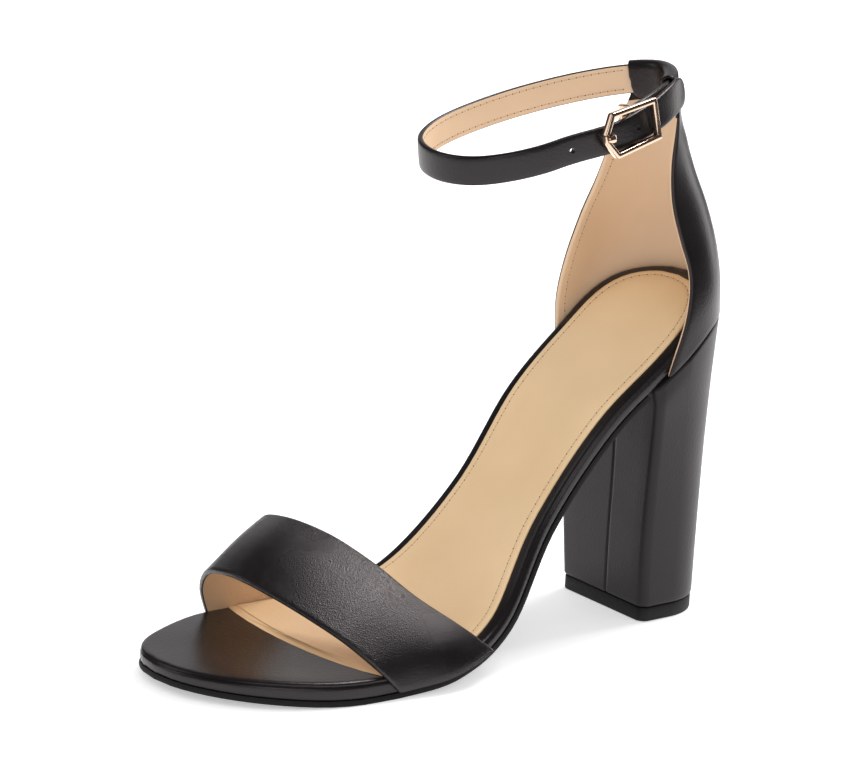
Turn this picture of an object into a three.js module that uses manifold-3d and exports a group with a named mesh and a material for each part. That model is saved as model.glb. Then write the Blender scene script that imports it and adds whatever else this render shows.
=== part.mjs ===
// Block heel sandal, the left shoe of a pair: one toe strap, a closed heel counter
// and a buckled ankle strap on a covered board and a high block heel.
// Millimetres. +X points to the toe, +Y to the outer side of the foot, +Z up.
// The origin is the middle of the top lift's underside, on the floor.

import * as THREE from "three";
import { mergeVertices } from "three/addons/utils/BufferGeometryUtils.js";
import Module from "manifold-3d";

const wasm = await Module();
wasm.setup();

// Driving dimensions
const footbedLength = 194;
const heelRise = 98.7;
const ballWidth = 75.2;
const seatWidth = 51.4;
const leatherThickness = 1.9;
const clearance = 0.3;

const boardThickness = 5.7;
const boardEdgeRound = 1.2;
const boardUnderRound = 0.5;
const outsoleThickness = 1.7;
const outsoleProud = 0.2;
const outsoleUnderRound = 0.4;
const sockThickness = 1;
const sockInset = 3.9;
const sockEdgeRound = 0.3;
const sockLength = 146.5;
const sockFrontBow = 4.6;

const heelTipWidth = 39.2;
const heelTipDepth = 29.6;
const heelTipProud = 0.25;
const heelSeatDepth = 38.9;
const heelCornerRadius = 3;
const topLiftThickness = 4.7;
const topLiftInset = 0.25;

const toeStrapRise = 31.6;
const toeStrapProud = 0.9;
const toeStrapSwell = 1.4;

const counterReach = 34;
const counterTopWidth = 36.5;
const counterUnderStrap = 0.75;

const ankleLoopLength = 85.6;
const ankleLoopWidth = 48.4;
const ankleLoopSetback = 15.2;
const ankleStrapHeight = 168;
const ankleStrapDrop = 17.4;
const ankleStrapWidth = 9.2;
const ankleStrapThickness = 2;
const ankleStrapCorner = 0.5;

const buckleLength = 22.9;
const buckleWidth = 14.4;
const buckleBarWidth = 1.7;
const buckleThickness = 2.2;
const bucklePostWidth = 1.2;
const buckleBevel = 0.3;
const buckleSag = 0.8;
const buckleTilt = 0.086;
const prongWidth = 2.2;
const prongThickness = 1;

const tunnelWall = 1.1;
const tunnelTop = 0.9;
const tunnelOverlap = 2;
const tunnelCorner = 0.6;
const tabDrop = 0.8;
const tabRound = 3.4;

// The footbed over its length, from the heel's end to the toe. rise is a share of the heel's rise,
// half and shift are shares of the ball's width, board is a share of the board's thickness.
const lastSections = [
  { at: 0, rise: 1, half: 0.323, shift: -0.001, board: 0.84 },
  { at: 0.067, rise: 0.941, half: 0.341, shift: -0.001, board: 0.84 },
  { at: 0.156, rise: 0.806, half: 0.341, shift: 0.001, board: 0.82 },
  { at: 0.267, rise: 0.62, half: 0.323, shift: -0.003, board: 0.78 },
  { at: 0.378, rise: 0.345, half: 0.308, shift: 0.006, board: 0.72 },
  { at: 0.489, rise: 0.096, half: 0.415, shift: 0.022, board: 0.69 },
  { at: 0.6, rise: 0.0145, half: 0.5, shift: 0.012, board: 0.78 },
  { at: 0.689, rise: 0, half: 0.498, shift: -0.013, board: 1 },
  { at: 0.8, rise: 0, half: 0.5, shift: -0.035, board: 1 },
  { at: 0.911, rise: 0.0095, half: 0.466, shift: -0.052, board: 0.91 },
  { at: 1, rise: 0.012, half: 0.46, shift: -0.1, board: 0.74 },
];
const heelRounding = { share: 0.505, power: 2.2 };
const toeRounding = { share: 0.681, power: 2.1 };

// The two edges of the toe strap, from the outer side of the foot over it to the inner side.
// along is a share of the footbed's length, across of the board's half width,
// lift of the toe strap's rise; base 1 is an end that is lasted down the board's side.
const toeStrapFront = [
  { along: 0.7, across: 1, lift: 0, base: 1 },
  { along: 0.734, across: 0.96, lift: 0.095, base: 0 },
  { along: 0.767, across: 0.77, lift: 0.319, base: 0 },
  { along: 0.799, across: 0.48, lift: 0.494, base: 0 },
  { along: 0.827, across: 0.1, lift: 0.62, base: 0 },
  { along: 0.844, across: -0.32, lift: 0.673, base: 0 },
  { along: 0.843, across: -0.68, lift: 0.588, base: 0 },
  { along: 0.816, across: -0.9, lift: 0.323, base: 0 },
  { along: 0.769, across: -1, lift: 0, base: 1 },
];
const toeStrapBack = [
  { along: 0.53, across: 1, lift: 0, base: 1 },
  { along: 0.563, across: 0.83, lift: 0.216, base: 0 },
  { along: 0.599, across: 0.53, lift: 0.511, base: 0 },
  { along: 0.635, across: 0.17, lift: 0.763, base: 0 },
  { along: 0.668, across: -0.24, lift: 0.942, base: 0 },
  { along: 0.693, across: -0.64, lift: 1, base: 0 },
  { along: 0.694, across: -0.93, lift: 0.895, base: 0 },
  { along: 0.66, across: -1.03, lift: 0.54, base: 0 },
  { along: 0.595, across: -1, lift: 0, base: 1 },
];

// The heel counter from the board's underside up to the ankle strap. lean and taper blend its back line
// and its width from the seat's outline to the strap's; belly is a share of the seat's width;
// outer and inner are the reach of its two front edges, as shares of the counter's reach.
const counterSections = [
  { at: 0, lean: 0, taper: 0, belly: 0, outer: 1, inner: 0.95 },
  { at: 0.167, lean: 0.05, taper: 0.03, belly: 0, outer: 0.8, inner: 0.95 },
  { at: 0.333, lean: 0.15, taper: 0.25, belly: 0, outer: 0.67, inner: 0.88 },
  { at: 0.5, lean: 0.33, taper: 0.6, belly: 0, outer: 0.605, inner: 0.745 },
  { at: 0.667, lean: 0.58, taper: 0.93, belly: -0.01, outer: 0.51, inner: 0.545 },
  { at: 0.833, lean: 0.82, taper: 1.05, belly: -0.015, outer: 0.365, inner: 0.363 },
  { at: 1, lean: 1, taper: 1, belly: 0, outer: 0.19, inner: 0.23 },
];

// The block heel from the top lift up to the board. width, front and back are blends
// from the tip's outline to the seat's.
const heelSections = [
  { at: 0, width: 0, front: 0, back: 0 },
  { at: 0.25, width: 0.13, front: 0.16, back: -0.1 },
  { at: 0.5, width: 0.32, front: 0.36, back: -0.15 },
  { at: 0.75, width: 0.62, front: 0.64, back: 0.1 },
  { at: 0.9, width: 0.85, front: 0.84, back: 0.55 },
  { at: 1, width: 1, front: 1, back: 1 },
];

// The ankle strap's middle line seen from above, from the front round the outer side to the heel.
// along is a share of the loop's length from its back, across a share of its width,
// lift a share of the strap's width; lean is how far the strap's upper edge leans outwards.
const ankleLoop = [
  { along: 1, across: -0.043, lift: 0, lean: 0.11 },
  { along: 0.933, across: 0.238, lift: 0, lean: 0.11 },
  { along: 0.743, across: 0.407, lift: 0.02, lean: 0.05 },
  { along: 0.489, across: 0.447, lift: 0.15, lean: -0.05 },
  { along: 0.24, across: 0.365, lift: 0.17, lean: -0.3 },
  { along: 0.062, across: 0.178, lift: 0.07, lean: -0.16 },
  { along: 0, across: -0.045, lift: 0.03, lean: -0.08 },
  { along: 0.077, across: -0.262, lift: 0, lean: 0.02 },
  { along: 0.271, across: -0.432, lift: 0, lean: 0.11 },
  { along: 0.526, across: -0.529, lift: 0, lean: 0.11 },
  { along: 0.781, across: -0.512, lift: 0, lean: 0.11 },
  { along: 0.948, across: -0.347, lift: 0, lean: 0.11 },
];

// Places on the ankle loop, as shares of one turn
const buckleBack = 0.335;
const tailEnd = 0.432;
const tunnelStart = 0.43;
const tunnelEnd = 0.546;

// Places in the buckle, as shares of its length from the back bar or of the way to the front bar
const centreBarShare = 0.4;
const shoulderShare = 0.83;
const prongDipShare = 0.35;
const prongHoleShare = 0.62;

const black = { color: 0x231f20, roughness: 0.42, metalness: 0 };
const tan = { color: 0xdfbf94, roughness: 0.6, metalness: 0 };
const gold = { color: 0xd9b08c, roughness: 0.25, metalness: 1 };
const rubber = { color: 0x151314, roughness: 0.7, metalness: 0 };

const mix = THREE.MathUtils.lerp;
const group = new THREE.Group();

function addMesh(name, geometry, look) {
  const mesh = new THREE.Mesh(geometry, new THREE.MeshStandardMaterial(look));
  mesh.name = name;
  group.add(mesh);
}

// A smooth function of one number through the rows of a table.
function through(rows, key, columns) {
  const places = rows.map((row) => row[key]);
  const values = rows.flatMap((row) => columns.map((column) => row[column]));
  const spline = new THREE.CubicInterpolant(places, values, columns.length);
  return (place) => {
    const found = spline.evaluate(THREE.MathUtils.clamp(place, places[0], places.at(-1)));
    return Object.fromEntries(columns.map((column, index) => [column, found[index]]));
  };
}

// Rows of points joined by strips of triangles into one closed surface.
class Skin {
  points = [];
  triangles = [];

  row(points) {
    const first = this.points.length;
    this.points.push(...points);
    return { first, count: points.length };
  }

  bridge(a, b, closed) {
    const strips = closed ? a.count : a.count - 1;
    for (let i = 0; i < strips; i += 1) {
      const next = (i + 1) % a.count;
      this.triangles.push([a.first + i, a.first + next, b.first + next]);
      this.triangles.push([a.first + i, b.first + next, b.first + i]);
    }
  }

  bridgeAll(rows, closed) {
    const placed = rows.map((row) => this.row(row));
    for (let i = 0; i + 1 < placed.length; i += 1) {
      this.bridge(placed[i], placed[i + 1], closed);
    }
  }

  // One geometry with shared corners, without collapsed triangles and facing out.
  geometry() {
    const loose = new THREE.BufferGeometry();
    const numbers = this.points.flatMap((point) => point.toArray());
    loose.setAttribute("position", new THREE.Float32BufferAttribute(numbers, 3));
    loose.setIndex(this.triangles.flat());
    const merged = mergeVertices(loose, 1e-3);
    const index = Array.from(merged.index.array);
    const kept = [];
    let volume = 0;
    const [a, b, c] = [new THREE.Vector3(), new THREE.Vector3(), new THREE.Vector3()];
    for (let i = 0; i < index.length; i += 3) {
      const corners = index.slice(i, i + 3);
      if (new Set(corners).size < 3) continue;
      kept.push(corners);
      a.fromBufferAttribute(merged.attributes.position, corners[0]);
      b.fromBufferAttribute(merged.attributes.position, corners[1]);
      c.fromBufferAttribute(merged.attributes.position, corners[2]);
      volume += a.dot(b.cross(c));
    }
    const facingOut = volume > 0 ? kept : kept.map(([p, q, r]) => [p, r, q]);
    merged.setIndex(facingOut.flat());
    return merged;
  }
}

function toManifold(geometry) {
  return new wasm.Manifold(new wasm.Mesh({
    numProp: 3,
    vertProperties: new Float32Array(geometry.attributes.position.array),
    triVerts: new Uint32Array(geometry.index.array),
  }));
}

function fromManifold(solid) {
  const mesh = solid.getMesh();
  const geometry = new THREE.BufferGeometry();
  geometry.setAttribute("position", new THREE.BufferAttribute(mesh.vertProperties, 3));
  geometry.setIndex(new THREE.BufferAttribute(mesh.triVerts, 1));
  return geometry;
}

// What is left of a piece after its neighbours' room is cut away, without loose offcuts.
function trimmed(solid, ...rooms) {
  const cut = rooms.reduce((rest, room) => rest.subtract(room), solid);
  const pieces = cut.decompose().sort((a, b) => b.volume() - a.volume());
  return fromManifold(pieces[0]);
}

// The last: where the footbed lies
const soleStack = boardThickness + clearance + outsoleThickness;
const heelEnd = -heelTipDepth / 2 + leatherThickness - heelTipProud;
const lastAt = through(lastSections, "at", ["rise", "half", "shift", "board"]);

function shareAt(x) {
  return (x - heelEnd) / footbedLength;
}

function topAt(x) {
  return soleStack + heelRise * lastAt(shareAt(x)).rise;
}

// The footbed's normal in the side view, from its slope.
function normalAt(x) {
  const step = boardThickness * 0.1;
  const slope = (topAt(x + step) - topAt(x - step)) / (2 * step);
  return new THREE.Vector2(-slope, 1).normalize();
}

function boardAt(x) {
  return boardThickness * lastAt(shareAt(x)).board;
}

// A point at a depth under the footbed, square to its slope. Nothing reaches below the floor.
function onLast(x, y, depth) {
  const normal = normalAt(x);
  return new THREE.Vector3(x - normal.x * depth, y, Math.max(topAt(x) - normal.y * depth, 0));
}

// Both ends of the footbed are rounded in plan: how much of the half width is left there.
function endShare(x) {
  const fromHeel = x - heelEnd;
  const fromToe = footbedLength - fromHeel;
  const heelLength = heelRounding.share * seatWidth;
  const toeLength = toeRounding.share * ballWidth;
  const rounded = (distance, length, power) => {
    const missing = THREE.MathUtils.clamp(1 - distance / length, 0, 1);
    return (1 - missing ** power) ** (1 / power);
  };
  return rounded(fromHeel, heelLength, heelRounding.power) * rounded(fromToe, toeLength, toeRounding.power);
}

// The seat has its own width, the rest of the footbed follows the ball's.
const seatEnds = 0.16;
const ballStarts = 0.4;

function halfAt(x) {
  const share = shareAt(x);
  const seat = 1 - THREE.MathUtils.smoothstep(share, seatEnds, ballStarts);
  return lastAt(share).half * mix(ballWidth, seatWidth / (2 * lastSections[1].half), seat);
}

function middleAt(x) {
  return lastAt(shareAt(x)).shift * ballWidth;
}

// Places along the footbed, close together at the rounded ends.
function stationsBetween(start, end) {
  const endSteps = 7;
  const middleSteps = 21;
  const heelLength = heelRounding.share * seatWidth;
  const toeLength = toeRounding.share * ballWidth;
  const heelSide = Array.from({ length: endSteps }, (_, i) => {
    return heelEnd + heelLength * (1 - Math.cos((Math.PI / 2) * (i / endSteps)));
  });
  const toeSide = Array.from({ length: endSteps + 2 }, (_, i) => {
    return heelEnd + footbedLength - toeLength * (1 - Math.cos((Math.PI / 2) * (1 - (i + 1) / (endSteps + 2))));
  });
  const middle = Array.from({ length: middleSteps + 1 }, (_, i) => {
    return heelEnd + mix(heelLength, footbedLength - toeLength, i / middleSteps);
  });
  const all = [...heelSide, ...middle, ...toeSide];
  const nearest = footbedLength * 0.0025;
  const inner = all.filter((x) => x > start + nearest && x < end - nearest);
  return [start, ...inner, end];
}

// The plan outline, moved inwards square to itself, as two lists with the same number of points.
function planEdge(stations, inset) {
  const outer = stations.map((x) => new THREE.Vector2(x, middleAt(x) + halfAt(x) * endShare(x)));
  const inner = stations.map((x) => new THREE.Vector2(x, middleAt(x) - halfAt(x) * endShare(x)));
  const loop = [...outer, ...inner.toReversed()];
  const isSame = (a, b) => a.distanceTo(b) < 1e-6;
  const neighbour = (index, step) => {
    let other = (index + step + loop.length) % loop.length;
    while (isSame(loop[other], loop[index])) other = (other + step + loop.length) % loop.length;
    return loop[other];
  };
  const insetAt = typeof inset === "function" ? inset : () => inset;
  const moved = loop.map((point, index) => {
    const tangent = neighbour(index, 1).clone().sub(neighbour(index, -1)).normalize();
    return point.clone().add(new THREE.Vector2(tangent.y, -tangent.x).multiplyScalar(insetAt(point.x)));
  });
  return { outer: moved.slice(0, stations.length), inner: moved.slice(stations.length).toReversed() };
}

// The footbed's area inside one inset, as rows of points from its outer edge across to its inner edge.
// bend bows the last row forward; depth is a function of the place along the footbed.
function footbedGrid(stations, { inset, depth }, bend) {
  const across = 4;
  const edge = planEdge(stations, inset);
  return stations.map((_station, index) => Array.from({ length: across + 1 }, (_unused, i) => {
    const spot = edge.outer[index].clone().lerp(edge.inner[index], i / across);
    const share = (2 * i) / across - 1;
    const bow = index === stations.length - 1 ? bend * (1 - share ** 2) : 0;
    return onLast(spot.x + bow, spot.y, depth(spot.x));
  }));
}

// All points on the border of a grid, in one turn.
function border(grid) {
  const column = (index) => grid.map((row) => row.at(index));
  const lastRow = grid.at(-1).slice(1, -1);
  const firstRow = grid[0].slice(1, -1).toReversed();
  return [...column(0), ...lastRow, ...column(-1).toReversed(), ...firstRow];
}

// A slab on the last, from its top's rim over its side to the underside's rim, with a face inside both.
function slab(stations, loops, bend = 0) {
  const skin = new Skin();
  const grids = loops.map((loop) => footbedGrid(stations, loop, bend));
  skin.bridgeAll(grids.map(border), true);
  skin.bridgeAll(grids[0], false);
  skin.bridgeAll(grids.at(-1).toReversed(), false);
  return skin.geometry();
}

// Closes a grid of outer points and its inner twin into one wall with a soft rim.
function wall(outer, inner) {
  const skin = new Skin();
  const rimOf = (a, b) => a.map((point, index) => point.clone().lerp(b[index], 0.5));
  const rimSwell = leatherThickness * 0.2;
  const rounded = (edge, twin, inside) => {
    return rimOf(edge, twin).map((point, index) => {
      return point.add(edge[index].clone().sub(inside[index]).setLength(rimSwell));
    });
  };
  const column = (grid, index) => grid.map((row) => row.at(index));
  const last = outer.length - 1;
  const startRim = rounded(outer[0], inner[0], outer[1]);
  const endRim = rounded(outer[last], inner[last], outer[last - 1]);
  const leftRim = rounded(column(outer, 0), column(inner, 0), column(outer, 1));
  const rightRim = rounded(column(outer, -1), column(inner, -1), column(outer, -2));
  leftRim[0] = startRim[0];
  leftRim[last] = endRim[0];
  rightRim[0] = startRim.at(-1);
  rightRim[last] = endRim.at(-1);
  skin.bridgeAll(outer, false);
  skin.bridgeAll(inner.map((row) => row.toReversed()), false);
  skin.bridgeAll([inner[0], startRim, outer[0]], false);
  skin.bridgeAll([outer[last], endRim, inner[last]], false);
  skin.bridgeAll([column(outer, 0), leftRim, column(inner, 0)], false);
  skin.bridgeAll([column(inner, -1), rightRim, column(outer, -1)], false);
  return skin.geometry();
}

// Moves a grid of points along its own normals.
function offsetGrid(grid, distance) {
  return grid.map((row, i) => row.map((point, j) => {
    const along = grid[Math.min(i + 1, grid.length - 1)][j].clone().sub(grid[Math.max(i - 1, 0)][j]);
    const across = row[Math.min(j + 1, row.length - 1)].clone().sub(row[Math.max(j - 1, 0)]);
    return point.clone().add(along.cross(across).setLength(distance));
  }));
}

// A grid with one more row past each end and one more column past each side.
function extendGrid(grid, pastEnds, pastSides) {
  const beyond = (list, other, distance) => list.map((point, index) => {
    return point.clone().add(point.clone().sub(other[index]).setLength(distance));
  });
  const rows = [beyond(grid[0], grid[1], pastEnds), ...grid, beyond(grid.at(-1), grid.at(-2), pastEnds)];
  const first = beyond(rows.map((row) => row[0]), rows.map((row) => row[1]), pastSides);
  const last = beyond(rows.map((row) => row.at(-1)), rows.map((row) => row.at(-2)), pastSides);
  return rows.map((row, index) => [first[index], ...row, last[index]]);
}

// A piece of leather whose outer side is the grid.
function leather(grid) {
  return wall(grid, offsetGrid(grid, -leatherThickness));
}

// The room that such a piece takes out of a neighbour.
function roomFor(grid, pastEnds, pastSides) {
  const wider = extendGrid(grid, pastEnds, pastSides);
  return toManifold(wall(offsetGrid(wider, clearance), offsetGrid(wider, -leatherThickness - clearance)));
}

// Board, sock and outsole
const footbedToe = heelEnd + footbedLength;
const boardSlab = toManifold(slab(stationsBetween(heelEnd, footbedToe), [
  { inset: boardEdgeRound, depth: () => 0 },
  { inset: boardEdgeRound * 0.3, depth: () => boardEdgeRound * 0.3 },
  { inset: 0, depth: () => boardEdgeRound },
  { inset: 0, depth: (x) => boardAt(x) - boardUnderRound },
  { inset: boardUnderRound, depth: boardAt },
]));

// The sock shows a rim of the board, except under the toe strap, where it runs to the strap's lining.
const sockWidens = { from: 0.6, to: 0.69 };

function sockInsetAt(x) {
  const hidden = THREE.MathUtils.smoothstep(shareAt(x), sockWidens.from, sockWidens.to);
  return mix(sockInset, toeStrapProud, hidden);
}

const sockAbove = -(sockThickness + clearance);
const sockSlab = toManifold(slab(stationsBetween(heelEnd, heelEnd + sockLength), [
  { inset: (x) => sockInsetAt(x) + sockEdgeRound, depth: () => sockAbove },
  { inset: sockInsetAt, depth: () => sockAbove + sockEdgeRound },
  { inset: sockInsetAt, depth: () => -clearance },
], sockFrontBow));

// The outsole starts at the heel's front and lies under the board's outline, a little proud of it.
const heelFrontTop = heelEnd - leatherThickness - clearance + heelSeatDepth;
const outsoleStart = heelFrontTop + clearance + normalAt(heelFrontTop).x * soleStack;
const outsoleTop = (x) => boardAt(x) + clearance;
const outsoleUnder = (x) => boardAt(x) + clearance + outsoleThickness;
addMesh("outsole", slab(stationsBetween(outsoleStart, footbedToe), [
  { inset: 0, depth: outsoleTop },
  { inset: -outsoleProud, depth: (x) => mix(outsoleTop(x), outsoleUnder(x), 0.35) },
  { inset: -outsoleProud, depth: (x) => mix(outsoleTop(x), outsoleUnder(x), 0.7) },
  { inset: outsoleUnderRound, depth: outsoleUnder },
]), rubber);

// Block heel and top lift: a flat breast in front, soft corners and a round back
const heelBackRounding = { share: 0.95, power: 2.2 };

function heelOutline(halfWidth, front, back) {
  const cornerSteps = 3;
  const backSteps = 8;
  const radius = heelCornerRadius;
  const backLength = halfWidth * heelBackRounding.share;
  const power = 2 / heelBackRounding.power;
  const side = (sign) => {
    const list = [new THREE.Vector2(front, sign * (halfWidth - radius) * 0.5)];
    for (let i = 0; i <= cornerSteps; i += 1) {
      const angle = (Math.PI / 2) * (i / cornerSteps);
      const x = front - radius + radius * Math.cos(angle);
      list.push(new THREE.Vector2(x, sign * (halfWidth - radius + radius * Math.sin(angle))));
    }
    for (let i = 1; i < backSteps; i += 1) {
      const angle = (Math.PI / 2) * (i / backSteps);
      const x = back + backLength * (1 - Math.sin(angle) ** power);
      list.push(new THREE.Vector2(x, sign * halfWidth * Math.cos(angle) ** power));
    }
    return list;
  };
  return [new THREE.Vector2(front, 0), ...side(1), new THREE.Vector2(back, 0), ...side(-1).toReversed()];
}

// Closes a stack of outlines with fans at both ends.
function stack(outlines) {
  const skin = new Skin();
  skin.bridgeAll(outlines, true);
  const cap = (outline) => {
    const middle = outline.reduce((sum, point) => sum.add(point), new THREE.Vector3());
    middle.divideScalar(outline.length);
    return outline.map(() => middle.clone());
  };
  skin.bridgeAll([cap(outlines[0]), outlines[0]], true);
  skin.bridgeAll([outlines.at(-1), cap(outlines.at(-1))], true);
  return skin.geometry();
}

const heelAt = through(heelSections, "at", ["width", "front", "back"]);
const seatHalf = seatWidth / 2 + leatherThickness + clearance;
const seatBack = heelEnd - leatherThickness - clearance;
const heelBottom = topLiftThickness + clearance;

// Height of the board's underside over a place on the floor, less a gap.
function underBoard(x) {
  return topAt(x) - (boardAt(x) + clearance) / normalAt(x).y;
}

function heelLevel(share) {
  const section = heelAt(share);
  const halfWidth = mix(heelTipWidth / 2, seatHalf, section.width);
  const front = mix(heelTipDepth / 2, heelFrontTop, section.front);
  const back = mix(-heelTipDepth / 2, seatBack, section.back);
  const level = (point) => mix(heelBottom, underBoard(point.x), share);
  return heelOutline(halfWidth, front, back).map((point) => new THREE.Vector3(point.x, point.y, level(point)));
}

const heelLevels = 12;
addMesh("heel", stack(Array.from({ length: heelLevels + 1 }, (_, i) => heelLevel(i / heelLevels))), black);

function liftLevel(height, inset) {
  const half = heelTipWidth / 2 - inset;
  const reach = heelTipDepth / 2 - inset;
  return heelOutline(half, reach, -reach).map((point) => new THREE.Vector3(point.x, point.y, height));
}

addMesh("top_lift", stack([
  liftLevel(0, topLiftInset * 1.6),
  liftLevel(topLiftInset, topLiftInset),
  liftLevel(topLiftThickness, topLiftInset),
]), rubber);

// Toe strap: a band between two edge curves, swelling outwards between them
function strapEdge(rows) {
  const middle = (rows.length - 1) / 2;
  const points = rows.map((row, index) => {
    const x = heelEnd + row.along * footbedLength;
    const side = index < middle ? 1 : -1;
    const y = middleAt(x) + halfAt(x) * endShare(x) * row.across + side * toeStrapProud * row.base;
    const depth = row.base * (boardAt(x) - 2 * clearance) - row.lift * toeStrapRise;
    return onLast(x, y, depth);
  });
  return new THREE.CatmullRomCurve3(points, false, "centripetal");
}

function toeStrapGrid() {
  const front = strapEdge(toeStrapFront);
  const back = strapEdge(toeStrapBack);
  const steps = 36;
  const columns = 6;
  return Array.from({ length: steps + 1 }, (_, i) => {
    const a = back.getPoint(i / steps);
    const b = front.getPoint(i / steps);
    const arch = Math.sin(Math.PI * (i / steps));
    return Array.from({ length: columns + 1 }, (_unused, j) => {
      const share = j / columns;
      const point = a.clone().lerp(b, share);
      point.z += toeStrapSwell * arch * Math.sin(Math.PI * share);
      return point;
    });
  });
}

addMesh("toe_strap", leather(toeStrapGrid()), black);

// Ankle strap: the middle line as a closed curve, falling towards the front
const tunnelOutside = ankleStrapThickness / 2 + clearance + tunnelWall;
const ankleBack = heelEnd + ankleLoopSetback;
const loopCurve = new THREE.CatmullRomCurve3(ankleLoop.map(({ along, across, lift }) => new THREE.Vector3(
  ankleBack + along * ankleLoopLength,
  across * ankleLoopWidth,
  ankleStrapHeight - along * ankleStrapDrop + lift * ankleStrapWidth,
)), true, "catmullrom", 0.5);
loopCurve.arcLengthDivisions = 600;
const leanCurve = new THREE.CatmullRomCurve3(
  ankleLoop.map(({ lean }) => new THREE.Vector3(lean, 0, 0)), true, "catmullrom", 0.5,
);

// Where the strap is at a share of its turn: place, direction, outward and upward.
function loopFrame(turn) {
  const share = THREE.MathUtils.euclideanModulo(turn, 1);
  const place = loopCurve.getPointAt(share);
  const along = loopCurve.getTangentAt(share);
  const outward = new THREE.Vector3(along.y, -along.x, 0).normalize();
  const upward = new THREE.Vector3().crossVectors(outward, along).normalize();
  const lean = leanCurve.getPoint(loopCurve.getUtoTmapping(share)).x;
  upward.addScaledVector(outward, lean).normalize();
  const facing = new THREE.Vector3().crossVectors(along, upward).normalize();
  return { place, along, upward, facing };
}

function onLoop(turn, out, up) {
  const { place, upward, facing } = loopFrame(turn);
  return place.clone().addScaledVector(facing, out).addScaledVector(upward, up);
}

// The strap's own section: a flat band with broken corners.
function bandSection(width, thickness) {
  const half = width / 2;
  const skin = thickness / 2;
  const corner = ankleStrapCorner;
  return [
    [skin, -half + corner], [skin, half - corner], [skin - corner, half], [corner - skin, half],
    [-skin, half - corner], [-skin, corner - half], [corner - skin, -half], [skin - corner, -half],
  ];
}

// Layers at the buckle, outwards from the strap's middle line: carrier, centre bar, tail
const barRadius = buckleBarWidth / 2;
const loopLength = loopCurve.getLength();
const centreBar = buckleBack - (centreBarShare * buckleLength) / loopLength;
const frontBar = buckleBack - buckleLength / loopLength;
const carrierEnd = centreBar + (barRadius + 4 * clearance) / loopLength;
const barOut = barRadius + clearance / 3;
const tailOverBar = barOut + barRadius + clearance + ankleStrapThickness / 2;
const tailOverTunnel = ankleStrapThickness + tunnelWall + 2 * clearance;

const climbShare = 0.05;
const settleShare = 0.02;

// How far out the strap runs: its free tail climbs over the centre bar and ends on the tunnel.
function tailOffset(turn) {
  const climb = THREE.MathUtils.smoothstep(turn, frontBar - climbShare, centreBar);
  const settle = THREE.MathUtils.smoothstep(turn, buckleBack, tailEnd - settleShare);
  return climb * mix(tailOverBar, tailOverTunnel, settle);
}

function ankleStrap() {
  const steps = 112;
  const endRows = 5;
  const narrowest = 0.45;
  const turns = Array.from({ length: steps + 1 }, (_, i) => mix(tailEnd, carrierEnd - 1, i / steps));
  const rows = turns.map((turn, index) => {
    const out = turn > 0 ? tailOffset(turn) : 0;
    const missing = Math.max(0, 1 - index / endRows);
    const width = ankleStrapWidth * mix(narrowest, 1, Math.sqrt(1 - missing ** 2));
    return bandSection(width, ankleStrapThickness).map(([o, u]) => onLoop(turn, out + o, u));
  });
  return stack(rows);
}

// The buckle's own frame: its first axis towards the front of the shoe, its third axis outwards.
// The buckle hangs a little under the strap's middle line and points slightly up.
function buckleMatrix() {
  const lift = tailOverBar + ankleStrapThickness / 2 + 3 * clearance;
  const back = onLoop(buckleBack, lift, 0);
  const first = onLoop(frontBar, lift, 0).sub(back).normalize();
  const down = loopFrame((buckleBack + frontBar) / 2).upward.negate();
  const out = new THREE.Vector3().crossVectors(first, down).normalize();
  down.crossVectors(out, first);
  back.addScaledVector(down, buckleSag);
  first.applyAxisAngle(out, -buckleTilt);
  down.applyAxisAngle(out, -buckleTilt);
  return new THREE.Matrix4().makeBasis(first, down, out).setPosition(back);
}

const buckleFrame = buckleMatrix();
const intoBuckle = buckleFrame.clone().invert();

function extruded(shape, depth, bevel) {
  const geometry = new THREE.ExtrudeGeometry(shape, {
    depth: depth - 2 * bevel,
    steps: 1,
    curveSegments: 6,
    bevelEnabled: bevel > 0,
    bevelSize: bevel,
    bevelThickness: bevel,
    bevelOffset: -bevel,
    bevelSegments: 1,
  });
  geometry.translate(0, 0, bevel);
  return bare(geometry);
}

// A library shape with its corners shared, ready to be joined or cut.
function bare(geometry) {
  geometry.deleteAttribute("normal");
  geometry.deleteAttribute("uv");
  return mergeVertices(geometry, 1e-4);
}

// The frame's outline: a straight back bar, two long sides to its shoulders and a point cut short.
function frameOutline(inset) {
  const backHalf = buckleWidth * 0.455 - inset;
  const half = buckleWidth / 2 - inset;
  const frontHalf = buckleWidth * 0.09 - inset * 0.32;
  const shoulder = buckleLength * shoulderShare - inset * 0.5;
  const end = buckleLength - inset;
  return [
    [inset, -backHalf], [shoulder, -half], [end, -frontHalf],
    [end, frontHalf], [shoulder, half], [inset, backHalf],
  ].map(([x, y]) => new THREE.Vector2(x, y));
}

function buckle() {
  const shape = new THREE.Shape(frameOutline(0));
  shape.holes.push(new THREE.Path(frameOutline(buckleBarWidth)));
  const frame = toManifold(extruded(shape, buckleThickness, buckleBevel));
  const middle = onLoop(centreBar, barOut, 0).applyMatrix4(intoBuckle);
  const reach = buckleWidth * 0.475 - bucklePostWidth / 2;
  const bar = new THREE.CylinderGeometry(barRadius, barRadius, 2 * reach, 10);
  bar.translate(middle.x, 0, middle.z);
  const postHeight = buckleThickness * 0.6 - middle.z + barRadius;
  const posts = [-1, 1].map((side) => {
    const post = new THREE.BoxGeometry(buckleBarWidth, bucklePostWidth, postHeight);
    post.translate(middle.x, side * reach, middle.z - barRadius + postHeight / 2);
    return toManifold(bare(post));
  });
  return frame.add(toManifold(bare(bar))).add(posts[0]).add(posts[1]);
}

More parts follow.
